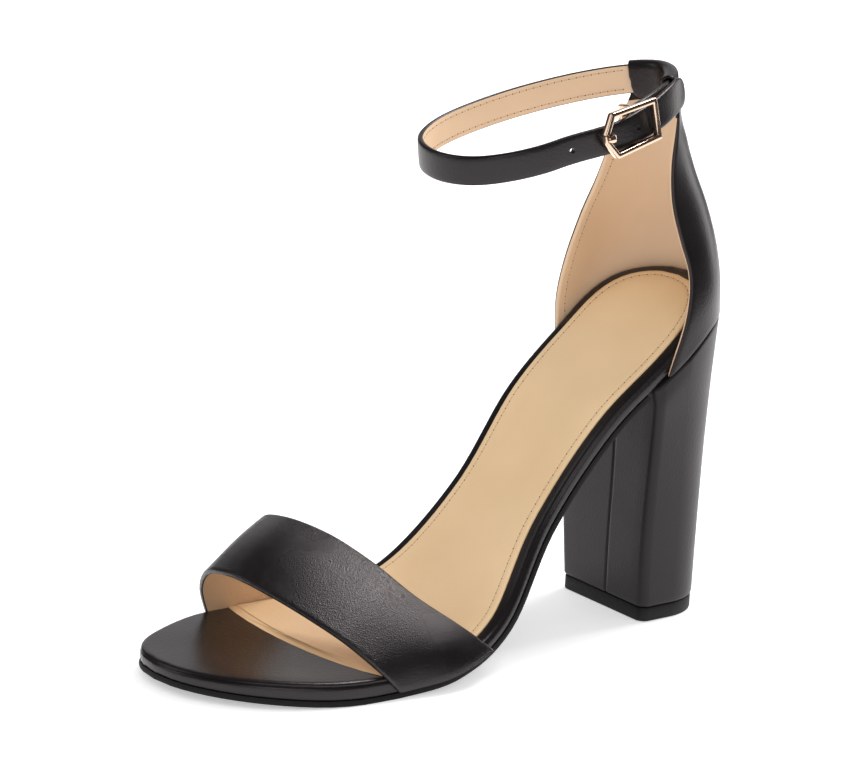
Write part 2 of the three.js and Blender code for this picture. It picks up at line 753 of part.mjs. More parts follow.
// The prong's path seen from the side, in the buckle's frame: under the tail, up through its hole,
// and onto the front bar.
function prongPath() {
  const holeTurn = mix(centreBar, frontBar, prongHoleShare);
  const onTail = (turn, height) => {
    const point = onLoop(turn, tailOffset(turn) + height, 0).applyMatrix4(intoBuckle);
    return new THREE.Vector2(point.x, point.z);
  };
  const half = ankleStrapThickness / 2;
  const under = -half - clearance - prongThickness / 2;
  const over = half + clearance + prongThickness / 2;
  const start = onLoop(centreBar, barOut, 0).applyMatrix4(intoBuckle);
  const hole = onTail(holeTurn, 0);
  const rest = buckleThickness + clearance + prongThickness / 2;
  const before = onTail(mix(centreBar, frontBar, prongDipShare), under);
  return [
    new THREE.Vector2(start.x + barRadius + clearance + prongThickness / 2, start.z - barRadius * 0.5),
    before,
    hole.clone().add(new THREE.Vector2(-prongThickness, under)),
    hole.clone().add(new THREE.Vector2(prongThickness, over)),
    new THREE.Vector2(buckleLength - buckleBarWidth - prongThickness, rest),
    new THREE.Vector2(buckleLength, rest),
  ];
}

// A flat strip that follows a path in the side view.
function ribbon(path, thickness, width) {
  const offset = (side) => path.map((point, index) => {
    const ahead = path[Math.min(index + 1, path.length - 1)];
    const behind = path[Math.max(index - 1, 0)];
    const tangent = ahead.clone().sub(behind).normalize();
    return point.clone().add(new THREE.Vector2(-tangent.y, tangent.x).multiplyScalar(side * thickness / 2));
  });
  const shape = new THREE.Shape([...offset(-1), ...offset(1).toReversed()]);
  const geometry = extruded(shape, width, 0);
  geometry.rotateX(Math.PI / 2);
  geometry.translate(0, width / 2, 0);
  return geometry;
}

// Heel counter: one curved wall from the board's underside to the ankle strap
const counterAt = through(counterSections, "at", ["lean", "taper", "belly", "outer", "inner"]);
const strapUnderside = ankleStrapWidth / 2 + counterUnderStrap;
const counterTopHalf = counterTopWidth / 2;
const counterTopBack = ankleBack - tunnelOutside;
const counterTopRounding = 1.3;

function counterTopAt(x) {
  const slope = ankleStrapDrop / ankleLoopLength;
  return ankleStrapHeight - strapUnderside - slope * (x - ankleBack);
}

function counterPoint(share, forward, side) {
  const section = counterAt(share);
  const back = mix(seatBack, counterTopBack, section.lean);
  const half = mix(seatHalf, counterTopHalf, section.taper) + section.belly * seatWidth;
  const round = mix(seatWidth * heelRounding.share, counterTopHalf * counterTopRounding, share);
  const missing = THREE.MathUtils.clamp(1 - forward / round, 0, 1);
  const x = back + forward;
  const y = side * half * (1 - missing ** heelRounding.power) ** (1 / heelRounding.power);
  const low = topAt(x) - (boardAt(x) - 2 * clearance) / normalAt(x).y;
  return new THREE.Vector3(x, y, mix(low, counterTopAt(x), share));
}

function counterGrid() {
  const levels = 16;
  const steps = 14;
  return Array.from({ length: levels + 1 }, (_, i) => {
    const share = i / levels;
    const section = counterAt(share);
    const reach = (edge) => edge * counterReach;
    const spread = (step) => (step / steps) ** 1.7;
    const inner = Array.from({ length: steps }, (_unused, j) => {
      return counterPoint(share, reach(section.inner) * spread(steps - j), -1);
    });
    const outer = Array.from({ length: steps + 1 }, (_unused, j) => {
      return counterPoint(share, reach(section.outer) * spread(j), 1);
    });
    return [...inner, ...outer];
  });
}

// The counter's top is folded over the ankle strap to the inside, as a tunnel with a rounded tab.
function tunnelGrids() {
  const steps = 16;
  const inside = ankleStrapThickness / 2 + clearance;
  const under = ankleStrapWidth / 2 + clearance;
  const top = under + tunnelTop;
  const low = -strapUnderside - tunnelOverlap;
  const tabLow = -under - tabDrop;
  const corner = tunnelCorner;
  const rowsOf = (out, high, cut) => Array.from({ length: steps + 1 }, (_, i) => {
    const turn = mix(tunnelStart, tunnelEnd, i / steps);
    const fromEnd = Math.min(turn - tunnelStart, tunnelEnd - turn) * loopLength;
    const missing = THREE.MathUtils.clamp(1 - fromEnd / tabRound, 0, 1);
    const raised = tabLow + tabRound * (1 - Math.sqrt(1 - missing ** 2));
    return [
      [out, low], [out, 0], [out, high - cut], [out - cut, high],
      [cut - out, high], [-out, high - cut], [-out, 0], [-out, raised],
    ].map(([o, u]) => onLoop(turn, o, u));
  });
  return [rowsOf(inside + tunnelWall, top, corner), rowsOf(inside, under, corner / 3)];
}

const counterSolid = toManifold(leather(counterGrid())).add(toManifold(wall(...tunnelGrids())));
addMesh("heel_counter", trimmed(counterSolid), black);

const strapRoom = roomFor(toeStrapGrid(), boardThickness, clearance);
const counterRoom = roomFor(counterGrid(), boardThickness, clearance);
addMesh("board", trimmed(boardSlab, strapRoom, counterRoom), black);
addMesh("sock", trimmed(sockSlab, strapRoom), tan);

const prong = ribbon(prongPath(), prongThickness, prongWidth);
prong.applyMatrix4(buckleFrame);
const prongRoom = ribbon(prongPath(), prongThickness + 2 * clearance, prongWidth + 2 * clearance);
prongRoom.applyMatrix4(buckleFrame);
addMesh("ankle_strap", trimmed(toManifold(ankleStrap()), toManifold(prongRoom)), black);
const frame = fromManifold(buckle());
frame.applyMatrix4(buckleFrame);
addMesh("buckle_frame", frame, gold);
addMesh("buckle_prong", prong, gold);

export default group;
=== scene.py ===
# %% [markdown]
# # A block heel sandal, piece by piece
# The CAD model gives every piece of this left shoe its exact place, but it is made of flat facets.
# This lesson gives each piece the smooth shape, the turned edges, the stitches and the finish of
# the real one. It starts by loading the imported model, which is the frame that all pieces ride on.

# %% Load the frame
import math

import bmesh
import bpy
from mathutils import Matrix, Vector


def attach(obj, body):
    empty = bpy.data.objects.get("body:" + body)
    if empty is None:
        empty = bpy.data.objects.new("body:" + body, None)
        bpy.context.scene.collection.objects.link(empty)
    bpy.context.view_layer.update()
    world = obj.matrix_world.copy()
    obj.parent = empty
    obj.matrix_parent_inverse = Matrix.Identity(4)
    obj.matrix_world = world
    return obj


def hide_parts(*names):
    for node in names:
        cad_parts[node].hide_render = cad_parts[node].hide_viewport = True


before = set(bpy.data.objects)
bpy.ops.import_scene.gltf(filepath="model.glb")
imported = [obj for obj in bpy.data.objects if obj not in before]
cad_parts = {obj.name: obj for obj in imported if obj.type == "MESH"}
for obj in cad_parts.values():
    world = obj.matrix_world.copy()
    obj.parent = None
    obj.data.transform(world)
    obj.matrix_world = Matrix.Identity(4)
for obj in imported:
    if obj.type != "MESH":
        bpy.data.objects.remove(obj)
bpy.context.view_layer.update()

# %% [markdown]
# ## The maker's sizes
# The CAD source and this script can't read each other, so the sizes are written here once more, in
# millimetres. Keeping every size under its own name means that a strap, its lining and its
# stitches all follow one number.

# %% Sizes in millimetres
MM = 0.001
FOOTBED_LENGTH = 194
HEEL_RISE = 98.7
BALL_WIDTH = 75.2
SEAT_WIDTH = 51.4
BOARD_THICKNESS = 5.7
OUTSOLE_THICKNESS = 1.7
SOCK_INSET = 3.9
LEATHER = 1.9
GAP = 0.3
HEEL_TIP_WIDTH = 39.2
HEEL_TIP_DEPTH = 29.6
HEEL_SEAT_DEPTH = 38.9
LIFT_THICKNESS = 4.7
LIFT_INSET = 0.25
HEEL_CORNER = 3
TOE_STRAP_RISE = 31.6
TOE_STRAP_PROUD = 0.9
TOE_STRAP_SWELL = 1.4
COUNTER_REACH = 34
COUNTER_TOP_WIDTH = 36.5
LOOP_LENGTH = 85.6
LOOP_WIDTH = 48.4
STRAP_HEIGHT = 168
STRAP_DROP = 17.4
STRAP_WIDTH = 9.2
STRAP_THICKNESS = 2
BUCKLE_LENGTH = 22.9
BUCKLE_WIDTH = 14.4
BUCKLE_BAR = 1.7
BUCKLE_THICKNESS = 2.2
BUCKLE_SAG = 0.8
BUCKLE_TILT = 0.086
PRONG_WIDTH = 2.2
PRONG_THICKNESS = 1
TUNNEL_WALL = 1.1
TUNNEL_TOP = 0.9

HEEL_END = -HEEL_TIP_DEPTH / 2 + LEATHER - 0.25
TOE_END = HEEL_END + FOOTBED_LENGTH
SOLE_STACK = BOARD_THICKNESS + GAP + OUTSOLE_THICKNESS

# %% [markdown]
# ## Sections of the last
# A shoe is built round a last, the wooden or plastic foot. Its shape is kept as a table of
# sections, and a smooth curve is drawn through each column. The curve here is a cubic one that
# passes through every row, the same kind that the CAD source uses.

# %% A smooth curve through a table
def clamp(value, low=0.0, high=1.0):
    return max(low, min(high, value))


def mix(start, end, share):
    return start + (end - start) * share


def smooth(value, low, high):
    share = clamp((value - low) / (high - low))
    return share * share * (3 - 2 * share)


def through(rows):
    """A function of the first column that gives the other columns."""
    places = [row[0] for row in rows]
    last = len(rows) - 1

    def at(place):
        place = clamp(place, places[0], places[-1])
        after = next((i for i in range(1, last) if place < places[i]), last)
        before = after - 1
        start, end = places[before], places[after]
        previous = before - 1 if before > 0 else after
        following = after + 1 if after < last else before
        half = (end - start) / 2
        pull_back = half / (start - places[previous])
        pull_on = half / (places[following] - end)
        p = (place - start) / (end - start)
        weights = (
            -pull_back * p**3 + 2 * pull_back * p**2 - pull_back * p,
            (1 + pull_back) * p**3 + (-1.5 - 2 * pull_back) * p**2 + (pull_back - 0.5) * p + 1,
            (-1 - pull_on) * p**3 + (1.5 + pull_on) * p**2 + 0.5 * p,
            pull_on * p**3 - pull_on * p**2,
        )
        found = (rows[previous], rows[before], rows[after], rows[following])
        return [sum(w * row[k] for w, row in zip(weights, found)) for k in range(1, len(rows[0]))]

    return at


# Columns: place along the footbed, rise, half width, shift, board thickness
last_at = through([
    (0, 1, 0.323, -0.001, 0.84),
    (0.067, 0.941, 0.341, -0.001, 0.84),
    (0.156, 0.806, 0.341, 0.001, 0.82),
    (0.267, 0.62, 0.323, -0.003, 0.78),
    (0.378, 0.345, 0.308, 0.006, 0.72),
    (0.489, 0.096, 0.415, 0.022, 0.69),
    (0.6, 0.0145, 0.5, 0.012, 0.78),
    (0.689, 0, 0.498, -0.013, 1),
    (0.8, 0, 0.5, -0.035, 1),
    (0.911, 0.0095, 0.466, -0.052, 0.91),
    (1, 0.012, 0.46, -0.1, 0.74),
])
print("footbed at the heel and at the ball:", last_at(0), last_at(0.69))


# %% Where the footbed lies
def share_at(x):
    return (x - HEEL_END) / FOOTBED_LENGTH


def top_at(x):
    return SOLE_STACK + HEEL_RISE * last_at(share_at(x))[0]


def normal_at(x):
    step = BOARD_THICKNESS * 0.1
    slope = (top_at(x + step) - top_at(x - step)) / (2 * step)
    return Vector((-slope, 1)).normalized()


def board_at(x):
    return BOARD_THICKNESS * last_at(share_at(x))[3]


def on_last(x, y, depth):
    """A point at a depth under the footbed, square to its slope."""
    normal = normal_at(x)
    return Vector((x - normal.x * depth, y, max(top_at(x) - normal.y * depth, 0)))


HEEL_ROUND = 0.505 * SEAT_WIDTH
TOE_ROUND = 0.681 * BALL_WIDTH


def end_share(x):
    def rounded(distance, length, power):
        return (1 - clamp(1 - distance / length) ** power) ** (1 / power)
    return rounded(x - HEEL_END, HEEL_ROUND, 2.2) * rounded(TOE_END - x, TOE_ROUND, 2.1)


def half_at(x):
    share = share_at(x)
    seat = 1 - smooth(share, 0.16, 0.4)
    return last_at(share)[1] * mix(BALL_WIDTH, SEAT_WIDTH / (2 * 0.341), seat)


def middle_at(x):
    return last_at(share_at(x))[2] * BALL_WIDTH


print("ball width", round(2 * half_at(HEEL_END + 0.69 * FOOTBED_LENGTH), 1), "mm")

# %% [markdown]
# ## From rows of points to a mesh
# Most pieces of a shoe are skins: a strap, a counter, a covered board. Blender's grid operator
# makes the faces, and each corner is then moved to its place in a row. A closed piece is a grid
# whose first and last columns meet and are merged. The same helper keeps a UV map that runs along
# and across the piece, and smooths the shading except over sharp edges.


# %% The skin helper
def skin(name, rows, slots, slot_of=None, sharp=40):
    """A mesh from rows of points in millimetres; every row has the same number of points."""
    bm = bmesh.new()
    deep, wide = len(rows) - 1, len(rows[0]) - 1
    bmesh.ops.create_grid(bm, x_segments=wide, y_segments=deep, size=1)
    corners = sorted(bm.verts, key=lambda v: (round(v.co.y * deep), v.co.x))
    place = {v: divmod(i, wide + 1) for i, v in enumerate(corners)}
    uv = bm.loops.layers.uv.new("along_across")
    for face in bm.faces:
        spots = [place[v] for v in face.verts]
        face.material_index = slot_of(min(s[0] for s in spots), min(s[1] for s in spots)) if slot_of else 0
        for loop in face.loops:
            i, j = place[loop.vert]
            loop[uv].uv = (i / deep, j / wide)
    for v, (i, j) in place.items():
        v.co = Vector(rows[i][j]) * MM
    bmesh.ops.remove_doubles(bm, verts=bm.verts, dist=2e-6)
    bmesh.ops.dissolve_degenerate(bm, dist=1e-6, edges=bm.edges)
    rim = [e for e in bm.edges if e.is_boundary]
    if rim:
        bmesh.ops.holes_fill(bm, edges=rim, sides=0)
    return finish(name, bm, slots, sharp)


def finish(name, bm, slots, sharp=40):
    # On a thin curved sheet the operator can guess the wrong side: a volume below zero shows it.
    bmesh.ops.recalc_face_normals(bm, faces=bm.faces)
    if bm.calc_volume(signed=True) < 0:
        bmesh.ops.reverse_faces(bm, faces=bm.faces)
        print(name, "turned right side out")
    mesh = bpy.data.meshes.new(name)
    bm.to_mesh(mesh)
    bm.free()
    mesh.shade_smooth()
    mesh.set_sharp_from_angle(angle=math.radians(sharp))
    for material in slots:
        mesh.materials.append(material)
    piece = bpy.data.objects.new(name, mesh)
    bpy.context.scene.collection.objects.link(piece)
    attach(piece, "root")
    print(name, len(mesh.polygons), "faces")
    return piece


# %% [markdown]
# ## One grain for all the leather
# Real leather has pebbles of about half a millimetre and a slow change of tone over its hide. A
# node group holds both once, and each leather uses it with its own sizes. It only puts out numbers
# and a height: the shader itself stays in each material, because the export reads it there.


# %% Node helpers
def add(tree, kind, place, **values):
    node = tree.nodes.new(kind)
    node.location = place
    for key, value in values.items():
        if key in node.inputs:
            node.inputs[key].default_value = value
        else:
            setattr(node, key, value)
    return node


def group(name, inputs, outputs):
    tree = bpy.data.node_groups.new(name, "ShaderNodeTree")
    for label, value in inputs:
        socket = tree.interface.new_socket(name=label, in_out="INPUT", socket_type="NodeSocketFloat")
        socket.default_value = value
    for label in outputs:
        tree.interface.new_socket(name=label, in_out="OUTPUT", socket_type="NodeSocketFloat")
    start = add(tree, "NodeGroupInput", (-900, 0))
    end = add(tree, "NodeGroupOutput", (700, 0))
    return tree, start, end


def wire(tree, *pairs):
    for source, target in pairs:
        tree.links.new(source, target)


def set_sockets(node, **sockets):
    """Sets sockets by name; an underscore stands for the space in a name."""
    for label, value in sockets.items():
        node.inputs[label.replace("_", " ")].default_value = value


def shaded(name):
    """A new material with its node tree and its shader."""
    material = bpy.data.materials.new(name)
    material.use_nodes = True
    return material, material.node_tree, material.node_tree.nodes["Principled BSDF"]


def math_node(tree, operation, a, b, place):
    node = add(tree, "ShaderNodeMath", place, operation=operation)
    for socket, value in zip(node.inputs, (a, b)):
        if isinstance(value, (int, float)):
            socket.default_value = value
        else:
            tree.links.new(value, socket)
    return node.outputs[0]


# %% Grain group
grain, start, end = group(
    "leather_grain", [("Pebble", 1300.0), ("Crease", 220.0), ("Crease share", 0.3)], ["Height", "Tone"])
coords = add(grain, "ShaderNodeTexCoord", (-900, 300))
pebble = add(grain, "ShaderNodeTexVoronoi", (-600, 300), feature="SMOOTH_F1", Smoothness=0.6,
             Randomness=0.9)
wobble = add(grain, "ShaderNodeTexNoise", (-600, 0), Detail=4.0, Roughness=0.62, Distortion=0.6)
hide = add(grain, "ShaderNodeTexNoise", (-600, -300), Scale=26.0, Detail=3.0)
for texture in (pebble, wobble, hide):
    grain.links.new(coords.outputs["Object"], texture.inputs["Vector"])
grain.links.new(start.outputs["Pebble"], pebble.inputs["Scale"])
grain.links.new(start.outputs["Crease"], wobble.inputs["Scale"])
creased = math_node(grain, "MULTIPLY", wobble.outputs[0], start.outputs["Crease share"], (-300, 0))
height = math_node(grain, "ADD", pebble.outputs["Distance"], creased, (0, 150))
grain.links.new(height, end.inputs["Height"])
grain.links.new(hide.outputs[0], end.inputs["Tone"])
print("grain group:", len(grain.nodes), "nodes")


# %% Leather materials
def leather(name, dark, light, rough, pebble_size=1300.0, crease=220.0, crease_share=0.3, depth=0.00006,
            specular=0.5):
    """dark and light are the two tones of the hide, rough its lowest and highest roughness."""
    material, tree, shader = shaded(name)
    hide_nodes = add(tree, "ShaderNodeGroup", (-700, 0), node_tree=grain)
    set_sockets(hide_nodes, Pebble=pebble_size, Crease=crease, Crease_share=crease_share)
    tone = add(tree, "ShaderNodeValToRGB", (-450, 200))
    for element, position, color in zip(tone.color_ramp.elements, (0.3, 0.7), (dark, light)):
        element.position, element.color = position, (*color, 1)
    gloss = add(tree, "ShaderNodeMapRange", (-450, -50))
    set_sockets(gloss, From_Min=0.3, From_Max=0.7, To_Min=rough[0], To_Max=rough[1])
    bump = add(tree, "ShaderNodeBump", (-450, -350), Strength=1.0, Distance=depth)
    wire(tree, (hide_nodes.outputs["Tone"], tone.inputs["Fac"]),
         (hide_nodes.outputs["Tone"], gloss.inputs["Value"]),
         (hide_nodes.outputs["Height"], bump.inputs["Height"]),
         (tone.outputs["Color"], shader.inputs["Base Color"]),
         (gloss.outputs["Result"], shader.inputs["Roughness"]),
         (bump.outputs["Normal"], shader.inputs["Normal"]))
    set_sockets(shader, Specular_IOR_Level=specular, Specular_Tint=(1, 0.93, 0.95, 1))
    return material


black_leather = leather("black_leather", (0.0055, 0.0045, 0.005), (0.0085, 0.007, 0.0075), (0.27, 0.37),
                        depth=0.00004, specular=0.42)
strap_leather = leather("toe_strap_leather", (0.005, 0.004, 0.0045), (0.008, 0.0065, 0.007), (0.22, 0.32),
                        pebble_size=2600.0, crease=1500.0, crease_share=0.8, depth=0.00009)
heel_leather = leather("heel_leather", (0.008, 0.0065, 0.007), (0.012, 0.01, 0.0105), (0.36, 0.46),
                       depth=0.00003, specular=0.27)
lining_leather = leather("tan_lining", (0.66, 0.465, 0.3), (0.73, 0.53, 0.355), (0.5, 0.62),
                         pebble_size=900.0, depth=0.00003)
sock_leather = leather("tan_sock", (0.72, 0.51, 0.285), (0.79, 0.575, 0.34), (0.46, 0.58),
                       pebble_size=900.0, depth=0.00003)
edge_paint = leather("edge_paint", (0.02, 0.011, 0.009), (0.035, 0.02, 0.015), (0.4, 0.5), depth=0.00002)
print("leathers made")

# %% [markdown]
# ## Rubber, metal and thread
# The outsole and the top lift are dull black rubber with a fine moulded texture. The buckle is
# plated in a warm gold and polished, with only faint hairlines. The lining is sewn with a tan
# thread that hardly shows; what the eye sees is the row of small dark needle holes between, each
# a dot with the hole's shade painted into its colour.


# %% Rubber, metal and thread materials
def simple(name, color, rough, metallic=0.0, scale=900.0, depth=0.00002, spread=0.06, stretch=(1, 1, 1),
           specular=0.5):
    material, tree, shader = shaded(name)
    coords = add(tree, "ShaderNodeTexCoord", (-900, 0))
    stretched = add(tree, "ShaderNodeMapping", (-750, 0), Scale=stretch)
    texture = add(tree, "ShaderNodeTexNoise", (-560, 0), Scale=scale, Detail=3.0)
    gloss = add(tree, "ShaderNodeMapRange", (-350, 0))
    set_sockets(gloss, To_Min=rough - spread, To_Max=rough + spread)
    tint = add(tree, "ShaderNodeMix", (-350, 250), data_type="RGBA")
    tint.inputs[6].default_value = (*[c * 0.85 for c in color], 1)
    tint.inputs[7].default_value = (*color, 1)
    bump = add(tree, "ShaderNodeBump", (-350, -300), Strength=1.0, Distance=depth)
    wire(tree, (coords.outputs["Object"], stretched.inputs["Vector"]),
         (stretched.outputs[0], texture.inputs["Vector"]),
         (texture.outputs[0], gloss.inputs["Value"]),
         (texture.outputs[0], tint.inputs[0]),
         (texture.outputs[0], bump.inputs["Height"]),
         (tint.outputs[2], shader.inputs["Base Color"]),
         (gloss.outputs["Result"], shader.inputs["Roughness"]),
         (bump.outputs["Normal"], shader.inputs["Normal"]))
    set_sockets(shader, Metallic=metallic, Specular_IOR_Level=specular)
    return material


sole_rubber = simple("sole_rubber", (0.006, 0.005, 0.005), 0.68, depth=0.00006, specular=0.25)
lift_rubber = simple("lift_rubber", (0.006, 0.005, 0.005), 0.62, depth=0.00004, specular=0.3)
gold = simple("warm_gold", (0.8, 0.6, 0.45), 0.1, metallic=1.0, scale=700.0, depth=0.000002, spread=0.03,
              stretch=(1, 1, 8))
tan_thread = simple("tan_thread", (0.62, 0.43, 0.27), 0.7, scale=3000.0)
# dark brown dots for the needle holes: the shade inside each hole is painted into this colour
needle_hole_shade = simple("needle_hole_painted_shade", (0.09, 0.05, 0.03), 0.8, scale=3000.0)
print("rubber, metal and thread made")

# %% [markdown]
# ## Stations along the footbed
# The rounded heel and toe need many close stations, the middle only a few. The outline in plan is
# moved inwards square to itself, which gives each edge of the board, the rim that shows round the
# sock, and the line of stitches inside it.


# %% Stations and plan outlines
def stations_between(begin, finish_at, heel_steps=12, middle_steps=46, toe_steps=16):
    heel_part = [HEEL_END + HEEL_ROUND * (1 - math.cos(math.pi / 2 * i / heel_steps))
                 for i in range(heel_steps)]
    middle = [HEEL_END + mix(HEEL_ROUND, FOOTBED_LENGTH - TOE_ROUND, i / middle_steps)
              for i in range(middle_steps + 1)]
    toe_part = [TOE_END - TOE_ROUND * (1 - math.cos(math.pi / 2 * (1 - (i + 1) / toe_steps)))
                for i in range(toe_steps)]
    inner = [x for x in heel_part + middle + toe_part if begin + 0.3 < x < finish_at - 0.3]
    return [begin, *inner, finish_at]


def plan_edge(stations, inset):
    """The outline moved inwards: its outer side and its inner side, one point for each station."""
    outer = [Vector((x, middle_at(x) + half_at(x) * end_share(x))) for x in stations]
    inner = [Vector((x, middle_at(x) - half_at(x) * end_share(x))) for x in stations]
    loop = outer + inner[::-1]
    count = len(loop)
    inset_at = inset if callable(inset) else lambda x: inset

    def neighbour(index, step):
        other = (index + step) % count
        while (loop[other] - loop[index]).length < 1e-6:
            other = (other + step) % count
        return loop[other]

    moved = []
    for index, point in enumerate(loop):
        tangent = (neighbour(index, 1) - neighbour(index, -1)).normalized()
        moved.append(point + Vector((tangent.y, -tangent.x)) * inset_at(point.x))
    return moved[:len(stations)], moved[len(stations):][::-1]


def sole_rows(stations, rings, across=10, bow=lambda x, share: 0):
    """Closed sections of a slab. Each ring is an inset and a depth; the first is the top's rim.
    bow moves a point along the shoe, share runs from the outer side to the inner side."""
    edges = [(plan_edge(stations, inset), depth) for inset, depth in rings]
    rows = []
    for i in range(len(stations)):
        def spot(edge, share):
            (outer, inner), depth = edge
            flat = outer[i].lerp(inner[i], share)
            return on_last(flat.x + bow(stations[i], share), flat.y, depth(flat.x))
        row = [spot(edge, 0) for edge in reversed(edges)]
        row += [spot(edges[0], j / across) for j in range(1, across)]
        row += [spot(edge, 1) for edge in edges]
        row += [spot(edges[-1], 1 - j / across) for j in range(1, across)]
        rows.append(row + row[:1])
    return rows


# %% [markdown]
# ## The covered board
# The footbed of this shoe is a stiff board wrapped in the same black leather. Its top edge is
# softly rounded and catches a line of light, and under it a groove marks where the wrapped insole
# meets the wrapped edge of the sole. The groove is modelled, because it shows along the whole arch.


# %% Board
def share_of_board(share):
    return lambda x: board_at(x) * share


board_rings = [
    (1.9, lambda x: 0), (1.25, lambda x: 0.06), (0.7, lambda x: 0.24), (0.32, lambda x: 0.52),
    (0.18, lambda x: 0.85), (0.26, share_of_board(0.2)), (0.5, share_of_board(0.235)),
    (0.4, share_of_board(0.27)), (0.12, share_of_board(0.32)), (-0.02, share_of_board(0.42)),
    (-0.06, share_of_board(0.58)), (-0.02, share_of_board(0.75)), (0.12, share_of_board(0.9)),
    (0.5, board_at),
]
board = skin("covered_board", sole_rows(stations_between(HEEL_END, TOE_END), board_rings), [black_leather])
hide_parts("board")

# %% [markdown]
# ## The outsole
# Below the board lies a thin sheet of rubber that stands a hair proud of it, so it shows from the
# side as a thin dark line. It starts at the front of the heel, which leans back towards the top, so
# both start FRONT_LEAN millimetres behind the solid's front there.

# %% Outsole
FRONT_LEAN = 3
heel_front = HEEL_END - LEATHER - GAP + HEEL_SEAT_DEPTH
outsole_start = heel_front - FRONT_LEAN + GAP + normal_at(heel_front).x * SOLE_STACK


def under_board(share):
    return lambda x: board_at(x) + GAP + OUTSOLE_THICKNESS * share


outsole_rings = [(0, lambda x: board_at(x) + 0.05), (-0.14, under_board(0.15)), (-0.2, under_board(0.35)),
                 (-0.2, under_board(0.7)), (-0.05, under_board(0.9)), (0.4, under_board(1))]
outsole = skin("rubber_outsole", sole_rows(stations_between(outsole_start, TOE_END), outsole_rings),
               [sole_rubber])
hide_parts("outsole")

# %% [markdown]
# ## The sock
# A soft tan sock is glued on the board and sewn round its edge. The stitches pull it down into a
# shallow channel a little over 2 mm inside the edge, and that channel is part of the shape here. Under
# the toe strap the sock widens to the strap's lining.


# %% Sock
SOCK_LENGTH = 146.5
RIM_WIDER = 0.7
INSET_AT_STRAP = 1.5
STITCH_INSET = 2.3


def sock_inset(x):
    rim = SOCK_INSET + RIM_WIDER * (1 - smooth(share_at(x), 0.02, 0.2))
    return mix(rim, INSET_AT_STRAP, smooth(share_at(x), 0.6, 0.69))


def sock_ring(more, depth):
    return (lambda x: sock_inset(x) + more, lambda x: depth)


sock_rings = [sock_ring(more, depth) for more, depth in (
    (3.2, -0.88), (2.7, -0.83), (STITCH_INSET, -0.7), (1.9, -0.82), (1.2, -0.88), (0.5, -0.82),
    (0.15, -0.66), (0, -0.42), (0.05, -0.02))]
SOCK_BOW = 4.6
SOCK_SLANT = 2.5
SOCK_CORNER = 1.6


def sock_front(x, share):
    near = smooth(x, HEEL_END + SOCK_LENGTH - 14, HEEL_END + SOCK_LENGTH)
    return near * (SOCK_BOW * (1 - (2 * share - 1) ** 2) - SOCK_SLANT * (1 - share)
                   - SOCK_CORNER * (1 - share) ** 8)


sock_stations = stations_between(HEEL_END, HEEL_END + SOCK_LENGTH)
sock = skin("tan_sock", sole_rows(sock_stations, sock_rings, bow=sock_front), [sock_leather])
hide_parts("sock")

# %% [markdown]
# ## The block heel
# The heel is a block under a leather cover: a flat front with soft corners, and sides that run
# into a round back. Its front is closed by a seam, modelled as a narrow groove, which starts near
# the middle at the lift and leans outwards as it climbs. Rows of the same outline are stacked from
# the top lift up to the board.

# %% Heel sections
heel_at = through([
    (0, 0, 0, 0), (0.25, 0.13, 0.16, -0.1), (0.5, 0.32, 0.36, -0.15),
    (0.75, 0.62, 0.64, 0.1), (0.9, 0.85, 0.84, 0.55), (1, 1, 1, 1),
])
SEAT_HALF = SEAT_WIDTH / 2 + LEATHER + GAP
SEAT_BACK = HEEL_END - LEATHER - GAP
INNER_WIDER = 1.2
TOP_NARROWER = 1.3
SEAM_DEPTH, SEAM_PLACES = 0.4, (1.4, 6.2)
COUNTER_DROP = 2.2


def heel_side(sign, half, front, back, seam, seam_y):
    power, reach, side = 2 / 2.2, half * 0.95, []
    for step in (0.25, 0.5, 1.2):
        side.append((front - (seam * 0.45 if step == 0.25 else 0), seam_y + sign * step))
    for share in (0.35, 0.7):
        side.append((front, mix(seam_y + sign * 1.2, sign * (half - HEEL_CORNER), share)))
    for i in range(9):
        angle = math.pi / 2 * i / 8
        side.append((front - HEEL_CORNER + HEEL_CORNER * math.cos(angle),
                     sign * (half - HEEL_CORNER + HEEL_CORNER * math.sin(angle))))
    for i in range(1, 24):
        angle = math.pi / 2 * i / 24
        side.append((back + reach * (1 - math.sin(angle) ** power), sign * half * math.cos(angle) ** power))
    return side


def heel_outline(half, front, back, seam=0.0, seam_y=0.0, wider=0.0):
    """One closed outline seen from above. seam is the depth of the groove in front, seam_y its place."""
    outer = heel_side(1, half, front, back, seam, seam_y)
    inner = heel_side(-1, half + wider, front, back, seam, seam_y)
    start = (front - seam, seam_y)
    return [start, *outer, (back, 0), *inner[::-1], start]


def counter_drop(x):
    """How far the counter reaches down over the heel: most at the back, nothing at the front."""
    return COUNTER_DROP * (1 - smooth(x - SEAT_BACK, 0, 20))


def heel_under(x):
    return top_at(x) - (board_at(x) + GAP) / normal_at(x).y - counter_drop(x)


def heel_row(share, swell=0.0):
    width, front, back = heel_at(share)
    lean = FRONT_LEAN * smooth(share, 0.15, 1)
    outline = heel_outline(mix(HEEL_TIP_WIDTH / 2, SEAT_HALF, width) + swell,
                           mix(HEEL_TIP_DEPTH / 2, heel_front, front) - lean + swell,
                           mix(-HEEL_TIP_DEPTH / 2, SEAT_BACK, back) - swell,
                           seam=SEAM_DEPTH, seam_y=mix(*SEAM_PLACES, share),
                           wider=INNER_WIDER * (1 - share))
    narrower = TOP_NARROWER * smooth(share, 0.9, 1)
    return [Vector((x, y - math.copysign(narrower * smooth(x, 10, 19) * smooth(abs(y), 5, 20), y),
                    mix(LIFT_THICKNESS + 0.1, heel_under(x), share))) for x, y in outline]


